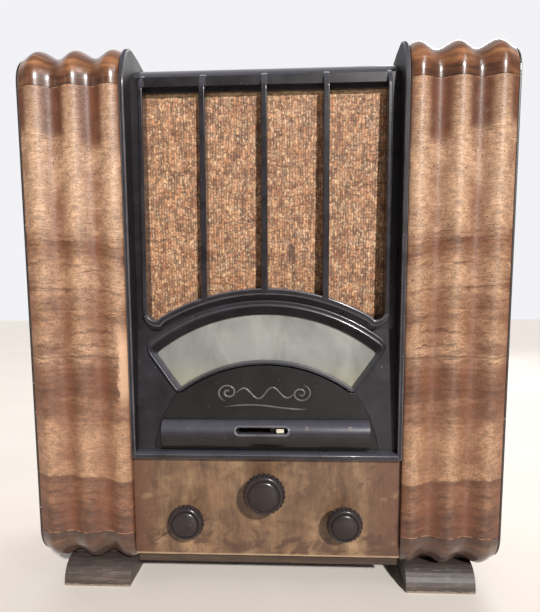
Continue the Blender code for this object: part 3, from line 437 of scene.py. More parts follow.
def side_veneer(name):
    """Side boards: veneered faces, black stained edges with chips along the front."""
    f = Finish(name, Coat_Weight=0.3, Coat_Roughness=0.3)
    depth = f.minus(f.y, FRONT_Y)
    flat = f.combine(0.0, depth, f.z)
    sway = f.scaled(f.noise(70.0, 2.0, f.stretch((1.0, 1.0, 0.3), flat)), -16.0, 16.0)
    warped = f.combine(0.0, f.plus(depth, sway), f.times(f.z, 0.05))
    figure = f.noise(13.0, 5.0, warped, 0.62)
    stops = [(0.30, (86, 54, 36)), (0.44, (126, 83, 54)), (0.56, (158, 110, 73)),
             (0.72, (184, 137, 95))]
    colour = f.tones(figure, stops)
    fibres = f.spread(f.noise(1.0, 3.0, f.stretch((1.0, 1.0, 0.05), flat)), 0.78, 1.16)
    mottle = f.spread(f.noise(34.0, 3.0, flat), 0.86, 1.12)
    colour = f.shade(colour, f.times(fibres, mottle))
    pores = f.span(f.noise(1.0, 1.0, f.stretch((1.0, 1.1, 0.3), flat)), 0.62, 0.74)
    colour = f.tint(colour, (66, 40, 26), pores, 0.5)
    # the black border round each face, rounded at the front corners like the board
    inward = f.minus(26.0, depth)
    rise = f.larger(f.minus(f.z, ROLL_TOP_Z), f.minus(ROLL_BOTTOM_Z, f.z), 0.0)
    reach = f.math("SQRT", f.plus(f.math("POWER", f.larger(inward, 0.0), 2.0),
                                  f.math("POWER", rise, 2.0)))
    border = f.span(reach, 21.2, 21.8)
    normal = f.node("NewGeometry").outputs["Normal"]
    facing = f.node("SeparateXYZ", {0: normal}).outputs[0]
    edge = f.span(f.abs(facing), 0.9, 0.6)
    black = f.larger(border, edge)
    ink = f.mix(f.noise(7.0, 3.0), srgb(30, 24, 22), srgb(52, 42, 36))
    colour = f.mix(black, colour, ink)
    # chips along the front arris
    front = f.span(f.larger(f.minus(reach, 24.6), 0.0), 0.0, 0.6)
    chips = f.times(front, f.span(f.noise(3.4, 3.0), 0.64, 0.70))
    colour = f.tint(colour, (176, 150, 122), chips, 0.85)
    f.bump((pores, -0.08), (fibres, 0.04), (chips, -0.25))
    return f.done(colour, f.scaled(f.noise(24.0, 3.0), 0.32, 0.50))


def top_veneer(name):
    """Top board: walnut with the figure across, dulled by dust."""
    f = Finish(name, Coat_Weight=0.3, Coat_Roughness=0.3)
    sway = f.scaled(f.noise(80.0, 2.0), -18.0, 18.0)
    warped = f.combine(f.times(f.x, 0.14), f.plus(f.y, sway), 0.0)
    figure = f.noise(22.0, 4.0, warped, 0.6)
    stops = [(0.30, (92, 58, 38)), (0.46, (134, 90, 60)), (0.58, (164, 116, 79)),
             (0.74, (188, 141, 99))]
    colour = f.tones(figure, stops)
    fibres = f.spread(f.noise(1.0, 3.0, f.stretch((0.05, 1.0, 1.0))), 0.78, 1.16)
    mottle = f.scaled(f.noise(36.0, 3.0), 0.82, 1.16)
    colour = f.shade(colour, f.times(fibres, mottle))
    pores = f.span(f.noise(1.0, 1.0, f.stretch((0.35, 1.1, 1.0))), 0.62, 0.74)
    colour = f.tint(colour, (70, 43, 28), pores, 0.5)
    dust = f.times(f.span(f.noise(44.0, 4.0), 0.45, 0.70), 0.25)
    colour = f.tint(colour, (176, 160, 142), dust)
    f.bump((pores, -0.08), (fibres, 0.04))
    return f.done(colour, f.scaled(f.noise(26.0, 3.0), 0.32, 0.55))


def bakelite(name, dark, light, dust, dust_share, rough=(0.20, 0.36), coat=0.3, dust_and_highlight=0.0):
    """Moulded resin: mottled near-black, with a veil of dust and fine scuffs. The last argument is how
    much faces that look upwards are lightened, by dust and by a painted highlight."""
    f = Finish(name, Specular_IOR_Level=0.3, Coat_Weight=coat, Coat_Roughness=0.14)
    mottle = f.noise(14.0, 4.0, None, 0.6)
    colour = f.tones(mottle, [(0.34, dark), (0.68, light)])
    speck = f.scaled(f.noise(0.8, 2.0), 0.82, 1.18)
    colour = f.shade(colour, speck)
    veil = f.span(f.noise(30.0, 4.0, None, 0.6, 0.4), 0.34, 0.66)
    veil = f.times(veil, dust_share)
    colour = f.tint(colour, dust, veil)
    # faces that look upwards lightened: dust, and a painted highlight
    if dust_and_highlight:
        normal = f.node("NewGeometry").outputs["Normal"]
        upward = f.span(f.node("SeparateXYZ", {0: normal}).outputs[2], -0.05, 0.45)
        upward = f.times(upward, f.scaled(f.noise(9.0, 3.0), 0.6, 1.0))
        colour = f.tint(colour, (98, 98, 110), f.times(upward, dust_and_highlight))
    motes = f.span(f.cells(5.2), 0.10, 0.05)
    motes = f.times(motes, f.span(f.noise(12.0, 2.0), 0.50, 0.62))
    colour = f.tint(colour, (150, 148, 150), motes, 0.55)
    scuff = f.noise(1.0, 2.0, f.stretch((1.2, 0.3, 0.25)))
    f.bump((scuff, 0.015), (mottle, 0.08), (speck, 0.012))
    gloss = f.plus(f.scaled(f.noise(18.0, 4.0, None, 0.6), *rough), f.times(veil, 0.12))
    return f.done(colour, gloss)


def frosted_glass(name):
    """Dial glass: frosted, grey-green, with cloudy patches and yellowed edges."""
    f = Finish(name, Specular_IOR_Level=0.4, Coat_Weight=0.25, Coat_Roughness=0.3)
    cloud = f.noise(34.0, 3.0, f.stretch((1.0, 1.0, 0.6)), 0.6, 0.5)
    stops = [(0.30, (104, 104, 99)), (0.48, (122, 122, 117)), (0.62, (134, 134, 129)),
             (0.78, (145, 145, 140))]
    colour = f.tones(cloud, stops)
    streak = f.scaled(f.noise(4.0, 3.0, f.stretch((0.9, 1.0, 0.12))), 0.94, 1.05)
    grain = f.scaled(f.noise(0.5, 1.0), 0.95, 1.05)
    colour = f.shade(colour, f.times(streak, grain))
    low = f.span(f.z, 222.0, 196.0)
    colour = f.tint(colour, (158, 150, 118), low, 0.4)
    f.bump((f.noise(0.45, 1.0), 0.02), (cloud, 0.05))
    return f.done(colour, f.scaled(cloud, 0.52, 0.38))


def grille_fabric(name):
    """Gold and brown tinsel weave. The cloth's mesh carries its flecks, cracks and strands."""
    f = Finish(name, Sheen_Weight=0.15, Sheen_Roughness=0.5, Specular_IOR_Level=0.55)
    fleck = f.node("Attribute", attribute_name="fleck").outputs["Fac"]
    crack = f.node("Attribute", attribute_name="crack").outputs["Fac"]
    strand = f.node("Attribute", attribute_name="strand").outputs["Fac"]
    patch = f.noise(15.0, 3.0, f.stretch((1.0, 1.0, 1.4)), 0.6)
    colour = f.tones(patch, [(0.32, (146, 94, 62)), (0.50, (172, 122, 84)), (0.68, (180, 138, 106))])
    threads = f.span(f.noise(0.8, 2.0, f.stretch((1.6, 1.0, 0.28))), 0.34, 0.66)
    threads = f.scaled(threads, 0.56, 1.22)
    weft = f.scaled(f.span(f.noise(0.7, 1.0, f.stretch((0.3, 1.0, 1.5))), 0.3, 0.7), 0.78, 1.14)
    colour = f.shade(colour, f.times(threads, weft, f.scaled(strand, 0.08, 1.56)))
    speck = f.span(f.noise(0.9, 1.0), 0.62, 0.72)
    colour = f.tint(colour, (98, 60, 38), speck, 0.55)
    colour = f.tint(colour, (240, 212, 166), fleck)
    colour = f.tint(colour, (48, 25, 17), crack)
    f.bump((threads, 0.12), (weft, 0.08))
    return f.done(colour, f.scaled(fleck, 0.62, 0.30))


def plain_wood(name, dark, light):
    """Unpolished wood with its grain along x."""
    f = Finish(name)
    grain_along = (0.06, 1.0, 1.0)
    warp = f.scaled(f.noise(40.0, 2.0), -5.0, 5.0)
    moved = f.vector("ADD", f.point, f.combine(warp, warp, warp))
    figure = f.noise(6.0, 3.0, f.stretch(grain_along, moved), 0.6)
    colour = f.tones(figure, [(0.32, dark), (0.68, light)])
    fine = f.scaled(f.noise(0.9, 2.0, f.stretch(grain_along)), 0.80, 1.18)
    stain = f.span(f.noise(24.0, 4.0), 0.50, 0.72)
    colour = f.shade(colour, fine)
    colour = f.tint(colour, dark, stain, 0.4)
    f.bump((fine, 0.10), (figure, 0.15))
    return f.done(colour, f.scaled(f.noise(12.0, 3.0), 0.6, 0.8))


def foot_paint(name):
    """Worn dark stain on the feet, worn through to grey wood on the arrises, and a painted shadow across the
    top, under the rolled corners.
    """
    f = Finish(name, Coat_Weight=0.1, Coat_Roughness=0.4)
    figure = f.noise(5.0, 3.0, f.stretch((0.12, 1.0, 1.0)), 0.6)
    colour = f.tones(figure, [(0.30, (50, 41, 37)), (0.55, (70, 58, 52)), (0.75, (92, 78, 70))])
    scratch = f.span(f.noise(1.0, 2.0, f.stretch((0.08, 1.0, 1.2))), 0.58, 0.72)
    colour = f.tint(colour, (150, 140, 128), scratch, 0.4)
    foot = f.span(f.plus(f.z, f.scaled(f.noise(4.0, 3.0), -1.5, 1.5)), 2.6, 1.2)
    colour = f.tint(colour, (150, 136, 118), foot, 0.7)
    # painted shadow of the rolled corners across the top of the foot
    dark = f.span(f.z, 13.0, 21.0)
    colour = f.tint(colour, (46, 42, 42), dark, 0.45)
    f.bump((scratch, 0.08), (figure, 0.10))
    return f.done(colour, f.scaled(f.noise(8.0, 3.0), 0.42, 0.62))


def fibreboard(name):
    """Brown pressed board with a fine tooth and stains."""
    f = Finish(name)
    tooth = f.noise(0.8, 2.0)
    mottle = f.noise(28.0, 4.0, None, 0.6)
    colour = f.tones(mottle, [(0.30, (84, 56, 38)), (0.55, (110, 76, 52)), (0.75, (128, 92, 64))])
    flecks = f.span(f.noise(1.6, 2.0, f.stretch((0.5, 1.0, 1.0))), 0.60, 0.72)
    colour = f.shade(colour, f.scaled(tooth, 0.80, 1.18))
    colour = f.tint(colour, (150, 116, 84), flecks, 0.35)
    f.bump((tooth, 0.10), (mottle, 0.12))
    return f.done(colour, f.scaled(mottle, 0.62, 0.80))


def metal(name, dark, light, tarnish, rough, metallic=0.92):
    """Plated or bare metal with a brushed tooth and tarnish."""
    f = Finish(name, Metallic=metallic)
    cloud = f.noise(13.0, 4.0, None, 0.6)
    colour = f.tones(cloud, [(0.32, dark), (0.62, light)])
    spot = f.span(f.noise(5.0, 4.0, None, 0.65), 0.56, 0.70)
    colour = f.tint(colour, tarnish, spot, 0.6)
    brushed = f.noise(0.7, 2.0, f.stretch((0.15, 1.0, 1.0)))
    colour = f.shade(colour, f.scaled(brushed, 0.90, 1.08))
    f.bump((brushed, 0.02), (spot, 0.03))
    gloss = f.plus(f.scaled(cloud, *rough), f.times(spot, 0.15))
    return f.done(colour, gloss)


def enamel(name, light, dark):
    """Cream paint, yellowed in patches."""
    f = Finish(name, Coat_Weight=0.2, Coat_Roughness=0.2)
    cloud = f.noise(18.0, 4.0, None, 0.6)
    colour = f.tones(cloud, [(0.35, dark), (0.65, light)])
    dirt = f.span(f.noise(3.0, 3.0), 0.62, 0.74)
    colour = f.tint(colour, (120, 104, 78), dirt, 0.5)
    f.bump((f.noise(1.4, 2.0), 0.02), (dirt, 0.02))
    return f.done(colour, f.scaled(cloud, 0.42, 0.28))


def cone_paper(name):
    """Black pressed paper with felted fibres."""
    f = Finish(name)
    felt = f.noise(1.2, 4.0, None, 0.7)
    colour = f.tones(felt, [(0.30, (34, 31, 29)), (0.70, (66, 60, 55))])
    f.bump((felt, 0.12))
    return f.done(colour, f.scaled(felt, 0.95, 0.80))


def valve_envelope(name):
    """Clear bulb, silvered at the crown, on a brown base."""
    f = Finish(name)
    height = f.minus(f.z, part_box("detector_valve")[0].z / MM)
    smear = f.scaled(f.noise(9.0, 3.0), -4.0, 4.0)
    silver = f.span(f.plus(height, smear), 86.0, 96.0)
    base = f.span(height, 27.5, 26.5)
    colour = f.mix(silver, srgb(214, 218, 214), f.mix(f.noise(6.0, 3.0), srgb(90, 88, 84),
                                                      srgb(150, 148, 144)))
    colour = f.tint(colour, (52, 36, 30), base)
    clear = f.minus(1.0, f.larger(silver, base))
    f.feed(f.shader.inputs["Transmission Weight"], f.times(clear, 0.92))
    f.feed(f.shader.inputs["Metallic"], f.times(silver, 0.8))
    f.bump((f.noise(3.0, 2.0), 0.02))
    return f.done(colour, f.scaled(f.noise(10.0, 3.0), 0.06, 0.20))


def table_top(name):
    """Pale floor with a faint unevenness."""
    f = Finish(name)
    cloud = f.noise(240.0, 3.0)
    colour = f.tones(cloud, [(0.3, (237, 228, 219)), (0.7, (243, 235, 227))])
    f.bump((f.noise(1.5, 2.0), 0.02))
    return f.done(colour, f.scaled(cloud, 0.55, 0.62))


WALNUT = veneer("walnut_pilaster")
ROLL_TOP = roll_veneer("walnut_roll_top", 1.0, ((74, 44, 30), (124, 80, 53), (168, 118, 80)))
# the bottom corners get a darker copy of the roll veneer: painted shade on corners that face down
ROLL_BOTTOM = roll_veneer("walnut_roll_bottom", -1.0, ((44, 24, 16), (74, 46, 31), (108, 71, 47)))
APRON = apron_veneer("walnut_apron")
SIDES = side_veneer("walnut_side")
TOP = top_veneer("walnut_top")
UNDERSIDE = plain_wood("underside_wood", (46, 34, 27), (74, 56, 43))
PLYWOOD = plain_wood("baffle_plywood", (150, 116, 78), (188, 152, 108))
RESIN = ((21, 16, 17), (34, 29, 31), (52, 51, 58), 0.3)
# upward faces of the front moulding, such as the band, are lightened: dust, and a painted highlight
BAKELITE = bakelite("bakelite_front", *RESIN, dust_and_highlight=0.45)
BAKELITE_FIN = bakelite("bakelite_fin", *RESIN, (0.46, 0.60), 0.0, dust_and_highlight=0.35)
# lighter bakelite for rounded edges: a painted highlight
BAKELITE_EDGE = bakelite("bakelite_edge", (50, 46, 49), (78, 74, 78), (100, 99, 106), 0.35, (0.24, 0.38),
                         dust_and_highlight=0.3)
BAKELITE_RIB = bakelite("bakelite_rib", (24, 19, 20), (38, 33, 35), (58, 57, 64), 0.3, (0.16, 0.28), 0.5,
                        dust_and_highlight=0.45)
BAKELITE_PANEL = bakelite("bakelite_panel", (23, 20, 22), (35, 32, 35), (50, 49, 56), 0.40,
                          (0.30, 0.46), 0.1)
BAKELITE_DARK = bakelite("bakelite_half_disc", (17, 13, 14), (25, 21, 22), (36, 33, 36), 0.2,
                         (0.30, 0.44), 0.1)
# darker resin for the bar: painted shade for its lower half; its upward faces carry a painted highlight with
# dust
BAKELITE_BAR = bakelite("bakelite_bar", (19, 12, 12), (29, 22, 22), (34, 29, 31), 0.2, dust_and_highlight=0.55)
# light grey bakelite for the slot's lip: a painted highlight on the raised rim
BAKELITE_LIP = bakelite("bakelite_lip", (66, 63, 68), (90, 87, 93), (112, 112, 120), 0.4)
# light grey bakelite for the scrollwork: a painted highlight on the raised lines
BAKELITE_RELIEF = bakelite("bakelite_relief", (66, 61, 61), (96, 90, 89), (118, 114, 114), 0.4)
# upward faces lightened: painted glints on the teeth, with a little dust
BAKELITE_KNOB = bakelite("bakelite_knob", (24, 14, 13), (38, 26, 24), (56, 45, 43), 0.25, dust_and_highlight=0.12)
CLOTH = grille_fabric("grille_weave")
DIAL_GLASS = frosted_glass("dial_frosted")
FEET = foot_paint("foot_stain")
BOARD = fibreboard("rear_fibreboard")
STEEL = metal("plated_steel", (120, 120, 116), (168, 168, 162), (96, 84, 66), (0.34, 0.50))
BRASS = metal("dull_brass", (150, 118, 62), (196, 160, 92), (92, 70, 40), (0.28, 0.44))
WORN_EDGE = metal("worn_relief", (112, 106, 100), (160, 154, 146), (70, 62, 60), (0.36, 0.5), 0.25)
IVORY = enamel("cream_enamel", (226, 221, 204), (196, 184, 152))
PAPER = cone_paper("cone_paper")
VALVES = valve_envelope("valve_envelope")

SLOT_FINISH = {
    "dark_edge": SIDES, "walnut": TOP, "foot": FEET, "board": BOARD, "brass": BRASS,
    "bakelite": BAKELITE, "glass": DIAL_GLASS, "ivory": IVORY, "cloth": CLOTH,
    "plywood": PLYWOOD, "steel": STEEL, "paper": PAPER, "valve_glass": VALVES,
}
NODE_FINISH = {"apron_panel": APRON, "bottom_board": UNDERSIDE, "top_board": TOP}
BEVELS = {
    "side_board_left": 0.5, "side_board_right": 0.5, "top_board": 0.8, "bottom_board": 0.8,
    "apron_panel": 1.2, "front_foot_left": 0.6, "front_foot_right": 0.6, "rear_foot_left": 0.6,
    "rear_foot_right": 0.6, "rear_cover": 0.4, "rear_latch_left": 0.4, "rear_latch_right": 0.4,
    "mains_inlet": 0.8, "band_indicator": 0.4, "mains_transformer": 0.8,
    "output_transformer": 0.8, "dial_reflector": 0.3, "aerial_terminals": 0.4,
}
SHARP_EDGE_DEG = 40.0


# ---------------------------------------------------------------- building


def arc(centre, radii, start, end, steps):
    """Points on an ellipse about centre, from one angle to another, in degrees."""
    points = []
    for i in range(steps + 1):
        angle = math.radians(start + (end - start) * i / steps)
        points.append((centre[0] + radii[0] * math.cos(angle), centre[1] + radii[1] * math.sin(angle)))
    return points


def bend(start, corner, end):
    """Points that round a corner, from start to end."""
    steps = 6
    points = []
    for i in range(steps + 1):
        t = i / steps
        weights = ((1 - t) ** 2, 2 * t * (1 - t), t * t)
        points.append(tuple(sum(w * p[axis] for w, p in zip(weights, (start, corner, end)))
                            for axis in (0, 1)))
    return points


def add_object(name, data):
    """New object in the scene."""
    obj = bpy.data.objects.new(name, data)
    bpy.context.scene.collection.objects.link(obj)
    return obj


def evaluated(obj):
    """Mesh of an object once its curve or its modifiers have been worked out."""
    bpy.context.view_layer.update()
    graph = bpy.context.evaluated_depsgraph_get()
    return bpy.data.meshes.new_from_object(obj.evaluated_get(graph))


def piece(name, mesh, finish, body, slot, *nodes, smooth=35.0):
    """Object with its place in its vertices, riding on a body and standing for CAD nodes."""
    obj = add_object(name, mesh)
    mesh.materials.clear()
    mesh.materials.append(finish)
    mesh.shade_smooth()
    mesh.set_sharp_from_angle(angle=math.radians(smooth))
    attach(obj, body)
    if nodes:
        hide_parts(*nodes)
    return obj


def mesh_of(bm, name):
    """Mesh of a bmesh, its faces turned outwards."""
    bmesh.ops.recalc_face_normals(bm, faces=bm.faces)
    mesh = bpy.data.meshes.new(name)
    bm.to_mesh(mesh)
    bm.free()
    return mesh


def skin(rings, name, loop=False):
    """Mesh through rings of world points: capped at both ends, or joined end to end as a loop."""
    bm = bmesh.new()
    made = [[bm.verts.new(p) for p in ring] for ring in rings]
    pairs = list(zip(made, made[1:] + (made[:1] if loop else [])))
    for ring, following in pairs:
        for i in range(len(ring)):
            j = (i + 1) % len(ring)
            bm.faces.new((ring[i], ring[j], following[j], following[i]))
    if not loop:
        bm.faces.new(made[0])
        bm.faces.new(reversed(made[-1]))
    return mesh_of(bm, name)


def prism(name, outline, span, matrix):
    """Outline of (u, v) carried between two heights of its own frame."""
    bm = bmesh.new()
    rings = []
    for n in span:
        rings.append([bm.verts.new(matrix @ (Vector((u, v, n)) * MM)) for u, v in outline])
    low, high = rings
    for i in range(len(low)):
        j = (i + 1) % len(low)
        bm.faces.new((low[i], low[j], high[j], high[i]))
    bm.faces.new(low)
    bm.faces.new(reversed(high))
    return mesh_of(bm, name)


def side_prism(name, outline, x):
    """Outline of (d, z) carried between two places across."""
    return prism(name, outline, x, FRONT_FRAME @ FACING_SIDE)


def front_prism(name, outline, d):
    """Outline of (x, z) carried between two depths."""
    return prism(name, outline, (-d[1], -d[0]), FRONT_FRAME @ FACING_FRONT)


def holed(name, loops, span, matrix):
    """Flat outline with holes, between two heights of its own frame."""
    curve = bpy.data.curves.new(name, "CURVE")
    curve.dimensions = "2D"
    curve.fill_mode = "BOTH"
    curve.extrude = (span[1] - span[0]) / 2 * MM
    for points in loops:
        spline = curve.splines.new("POLY")
        spline.points.add(len(points) - 1)
        for target, (u, v) in zip(spline.points, points):
            target.co = (u * MM, v * MM, 0.0, 1.0)
        spline.use_cyclic_u = True
    guide = add_object(name + "_outline", curve)
    mesh = evaluated(guide)
    bpy.data.objects.remove(guide, do_unlink=True)
    bm = bmesh.new()
    bm.from_mesh(mesh)
    bpy.data.meshes.remove(mesh)
    bmesh.ops.remove_doubles(bm, verts=bm.verts, dist=1e-6)
    made = mesh_of(bm, name)
    made.transform(matrix @ Matrix.Translation((0.0, 0.0, sum(span) / 2 * MM)))
    return made


def carved(mesh, *cutters):
    """Mesh minus each cutter mesh."""
    for cutter_mesh in cutters:
        target, cutter = add_object("carved", mesh), add_object("cutter", cutter_mesh)
        modifier = target.modifiers.new("cut", "BOOLEAN")
        modifier.operation = "DIFFERENCE"
        modifier.solver = "EXACT"
        modifier.object = cutter
        mesh = evaluated(target)
        for obj in (target, cutter):
            bpy.data.objects.remove(obj, do_unlink=True)
    return mesh


def soften(obj, width, segments=3, edge_highlight=None):
    """Rounds an object's edges. The last argument is a lighter finish for the rounding alone: a painted
    highlight along the edges.
    """
    modifier = obj.modifiers.new("edges", "BEVEL")
    modifier.width = width * MM
    modifier.segments = segments
    modifier.limit_method = "ANGLE"
    modifier.angle_limit = math.radians(SHARP_EDGE_DEG)
    if edge_highlight:
        obj.data.materials.append(edge_highlight)
        modifier.material = 1
    return obj


def wire(name, paths, radius, finish, body, matrix, closed=False):
    """Round wire through points of (x, s, n) in a frame."""
    curve = bpy.data.curves.new(name, "CURVE")
    curve.dimensions = "3D"
    curve.bevel_depth = radius * MM
    curve.bevel_resolution = 3
    curve.use_fill_caps = True
    for path in paths:
        spline = curve.splines.new("POLY")
        spline.points.add(len(path) - 1)
        for target, (point, thickness) in zip(spline.points, path):
            target.co = (*(matrix @ (Vector(point) * MM)), 1.0)
            target.radius = thickness
        spline.use_cyclic_u = closed
        spline.use_smooth = True
    curve.materials.append(finish)
    obj = add_object(name, curve)
    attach(obj, body)
    return obj


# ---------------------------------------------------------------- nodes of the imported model


def finish_nodes():
    """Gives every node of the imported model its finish, and eases the edges that show."""
    for part in frame["record"]["subparts"]:
        name = part["node"]
        node = frame["nodes"][name]
        node.data.materials.clear()
        node.data.materials.append(NODE_FINISH.get(name, SLOT_FINISH[part["material_slot"]]))
        if name in BEVELS:
            node.modifiers.new("weld", "WELD").merge_threshold = 1e-5
            soften(node, BEVELS[name])


# ---------------------------------------------------------------- fluted mouldings


def flute_drop(x):
    """How far the fluted face lies below its crests."""
    phase = 2 * math.pi * (abs(x) - OUTER_CREST_X) / FLUTE_PITCH
    return FLUTE_DEPTH / 2 * (1 - math.cos(phase))


def fluted(name, side, stations, finish):
    """Fluted moulding through stations of (axis d, axis z, angle from the front)."""
    width = PILASTER_OUT_X - PILASTER_IN_X
    across = [PILASTER_IN_X + width * i / ACROSS_STEPS for i in range(ACROSS_STEPS + 1)]
    ease = 0.6  # the outer corners of the section are eased by this much
    rings = []
    for axis_d, axis_z, angle in stations:
        out = (-math.cos(math.radians(angle)), math.sin(math.radians(angle)))
        section = []
        for i, x in enumerate(across):
            nearest = min(x - across[0], across[-1] - x)
            drop = flute_drop(x) + (ease if nearest < 1e-6 else 0.0)
            section.append((x, ROLL_R - drop))
        section += [(across[-1], ROLL_CORE_R), (across[0], ROLL_CORE_R)]
        rings.append([place(side * x, axis_d + out[0] * r, axis_z + out[1] * r) for x, r in section])
    return piece(name, skin(rings, name), finish, "cabinet", "walnut", name.replace("_fluted", ""),
                 smooth=30.0)


def make_mouldings():
    """Pilasters, their rolled corners, and the mouldings that run back over the top."""
    rise = [90.0 * i / CORNER_STEPS for i in range(CORNER_STEPS + 1)]
    for label, side in (("left", -1), ("right", 1)):
        steps = 40
        climb = [SEAM_BOTTOM_Z + (SEAM_TOP_Z - SEAM_BOTTOM_Z) * i / steps for i in range(steps + 1)]
        fluted(f"pilaster_{label}_fluted", side, [(ROLL_D, z, 0.0) for z in climb], WALNUT)
        top = [(ROLL_D, SEAM_TOP_Z + GAP, 0.0)] + [(ROLL_D, ROLL_TOP_Z, a) for a in rise]
        fluted(f"pilaster_top_corner_{label}_fluted", side, top, ROLL_TOP)
        low = [(ROLL_D, SEAM_BOTTOM_Z - GAP, 0.0)] + [(ROLL_D, ROLL_BOTTOM_Z, -a) for a in rise]
        fluted(f"pilaster_bottom_corner_{label}_fluted", side, low, ROLL_BOTTOM)
        run = [(ROLL_D + GAP, ROLL_TOP_Z, 90.0), (REAR_D, ROLL_TOP_Z, 90.0)]
        fluted(f"top_moulding_{label}_fluted", side, run, ROLL_TOP)


# ---------------------------------------------------------------- bakelite front


def fin_outline():
    """Fin beside the grille: a rounded peak in front that slopes down behind."""
    centre = (FIN_PEAK[0], FIN_SHOULDER_Z)
    reach = (FIN_PEAK[0] - BEZEL_FRONT_D, FIN_PEAK[1] - FIN_SHOULDER_Z)
    points = [(BEZEL_FRONT_D, BEZEL_BOTTOM_Z)] + arc(centre, reach, 180.0, 90.0, 24)
    points += [(46.0, 496.3), (66.0, 493.7), (66.0, 486.0), (56.0, 476.0)]
    return points + [(BEZEL_BACK_D, 466.5), (BEZEL_BACK_D, BEZEL_BOTTOM_Z)]


def rib_outline(foot_z):
    """Grille rib: leaning front, a rounded shoulder, and a tail under the band."""
    foot_d, from_z = RIB_FOOT
    shoulder_d, shoulder_z = RIB_SHOULDER
    lean = (shoulder_d - foot_d) / (shoulder_z - from_z)
    foot = (foot_d + (foot_z - from_z) * lean, foot_z)
    crown = arc((shoulder_d + RIB_BEND_R, shoulder_z), (RIB_BEND_R, RIB_BEND_R), 180.0, 90.0, 20)
    inside_band = [(29.5, 475.0), (25.6, 468.0), (23.6, 462.0)]
    return [foot] + crown + inside_band + [(23.6, foot_z)]


def band_outline():
    """Band over the grille: an upright lip that bends back to the top."""
    centre = (BAND_LIP[0] + BAND_BEND_R, BAND_LIP[1])
    slope = 68.7
    inner_r = BAND_BEND_R - BAND_T
    outer = arc(centre, (BAND_BEND_R, BAND_BEND_R), 180.0, 180.0 - slope, 12)
    inner = arc(centre, (inner_r, inner_r), 180.0 - slope, 180.0, 12)
    return outer + [BAND_TOP, (BAND_TOP[0] + 1.0, BAND_TOP[1] - BAND_T)] + inner


def arch_z(x, radius=ARCH_R):
    """Height of the arch under the grille."""
    return ARCH_CENTRE_Z + math.sqrt(radius * radius - x * x)


def bay_outline(edge_x, radius, corner, top_z):
    """Grille opening: straight sides, arched bottom and rounded lower corners."""
    inner_x = edge_x - corner
    foot_z = arch_z(inner_x, radius)
    tilt = math.degrees(math.asin(inner_x / radius))
    centre = (inner_x, foot_z + corner)
    right = arc(centre, (corner, corner), -90.0 - tilt * 0.6, 0.0, 12)
    arch = [(x, arch_z(x, radius)) for x in [inner_x * 0.93 * (1 - 2 * i / 40) for i in range(41)]]
    left = [(-x, z) for x, z in reversed(right)]
    return [(edge_x, top_z)] + right[::-1] + arch + left[::-1] + [(-edge_x, top_z)]


def dial_fan(share, margin=0.0):
    """Fan outline of the dial's opening, grown by a share of the rim's width and by a margin."""
    above, beside, below = [share * width + margin for width in DIAL_RIM]
    (top_x, low_x), (top_s, low_s) = DIAL_END
    lean = math.atan2(top_x - low_x, top_s - low_s)
    start = (low_x + beside * math.cos(lean), low_s - beside * math.sin(lean))
    climb = (math.sin(lean), math.cos(lean))

    def end_corner(radius, centre_s):
        x, s = start[0], start[1] - centre_s
        b = x * climb[0] + s * climb[1]
        t = math.sqrt(b * b - (x * x + s * s - radius * radius)) - b
        return start[0] + t * climb[0], start[1] + t * climb[1]

    steps = 48
    top_r, top_c = DIAL_TOP_ARC[0] + above, DIAL_TOP_ARC[1]
    low_r, low_c = DIAL_LOW_ARC[0] - below, DIAL_LOW_ARC[1]
    top, low = end_corner(top_r, top_c), end_corner(low_r, low_c)
    top_ease, low_ease = 2.0 + 9.0 * share, 1.5 + 5.0 * share
    half = math.degrees(math.asin(top[0] / top_r) - top_ease / top_r)
    top_arc = arc((0.0, top_c), (top_r, top_r), 90.0, 90.0 - half, steps // 2)
    half = math.degrees(math.asin(low[0] / low_r) - low_ease / low_r)
    low_arc = arc((0.0, low_c), (low_r, low_r), 90.0 - half, 90.0, steps // 2)
    below_top = (top[0] - climb[0] * top_ease, top[1] - climb[1] * top_ease)
    above_low = (low[0] + climb[0] * low_ease, low[1] + climb[1] * low_ease)
    right = top_arc[:-1] + bend(top_arc[-1], top, below_top)
    right += bend(above_low, low, low_arc[0]) + low_arc[1:]
    return right + [(-x, s) for x, s in right[-2:0:-1]]


def front_piece(name, mesh, finish=BAKELITE, smooth=35.0):
    """Piece of the front moulding."""
    return piece(name, mesh, finish, "cabinet", "bakelite", "front_bezel", smooth=smooth)


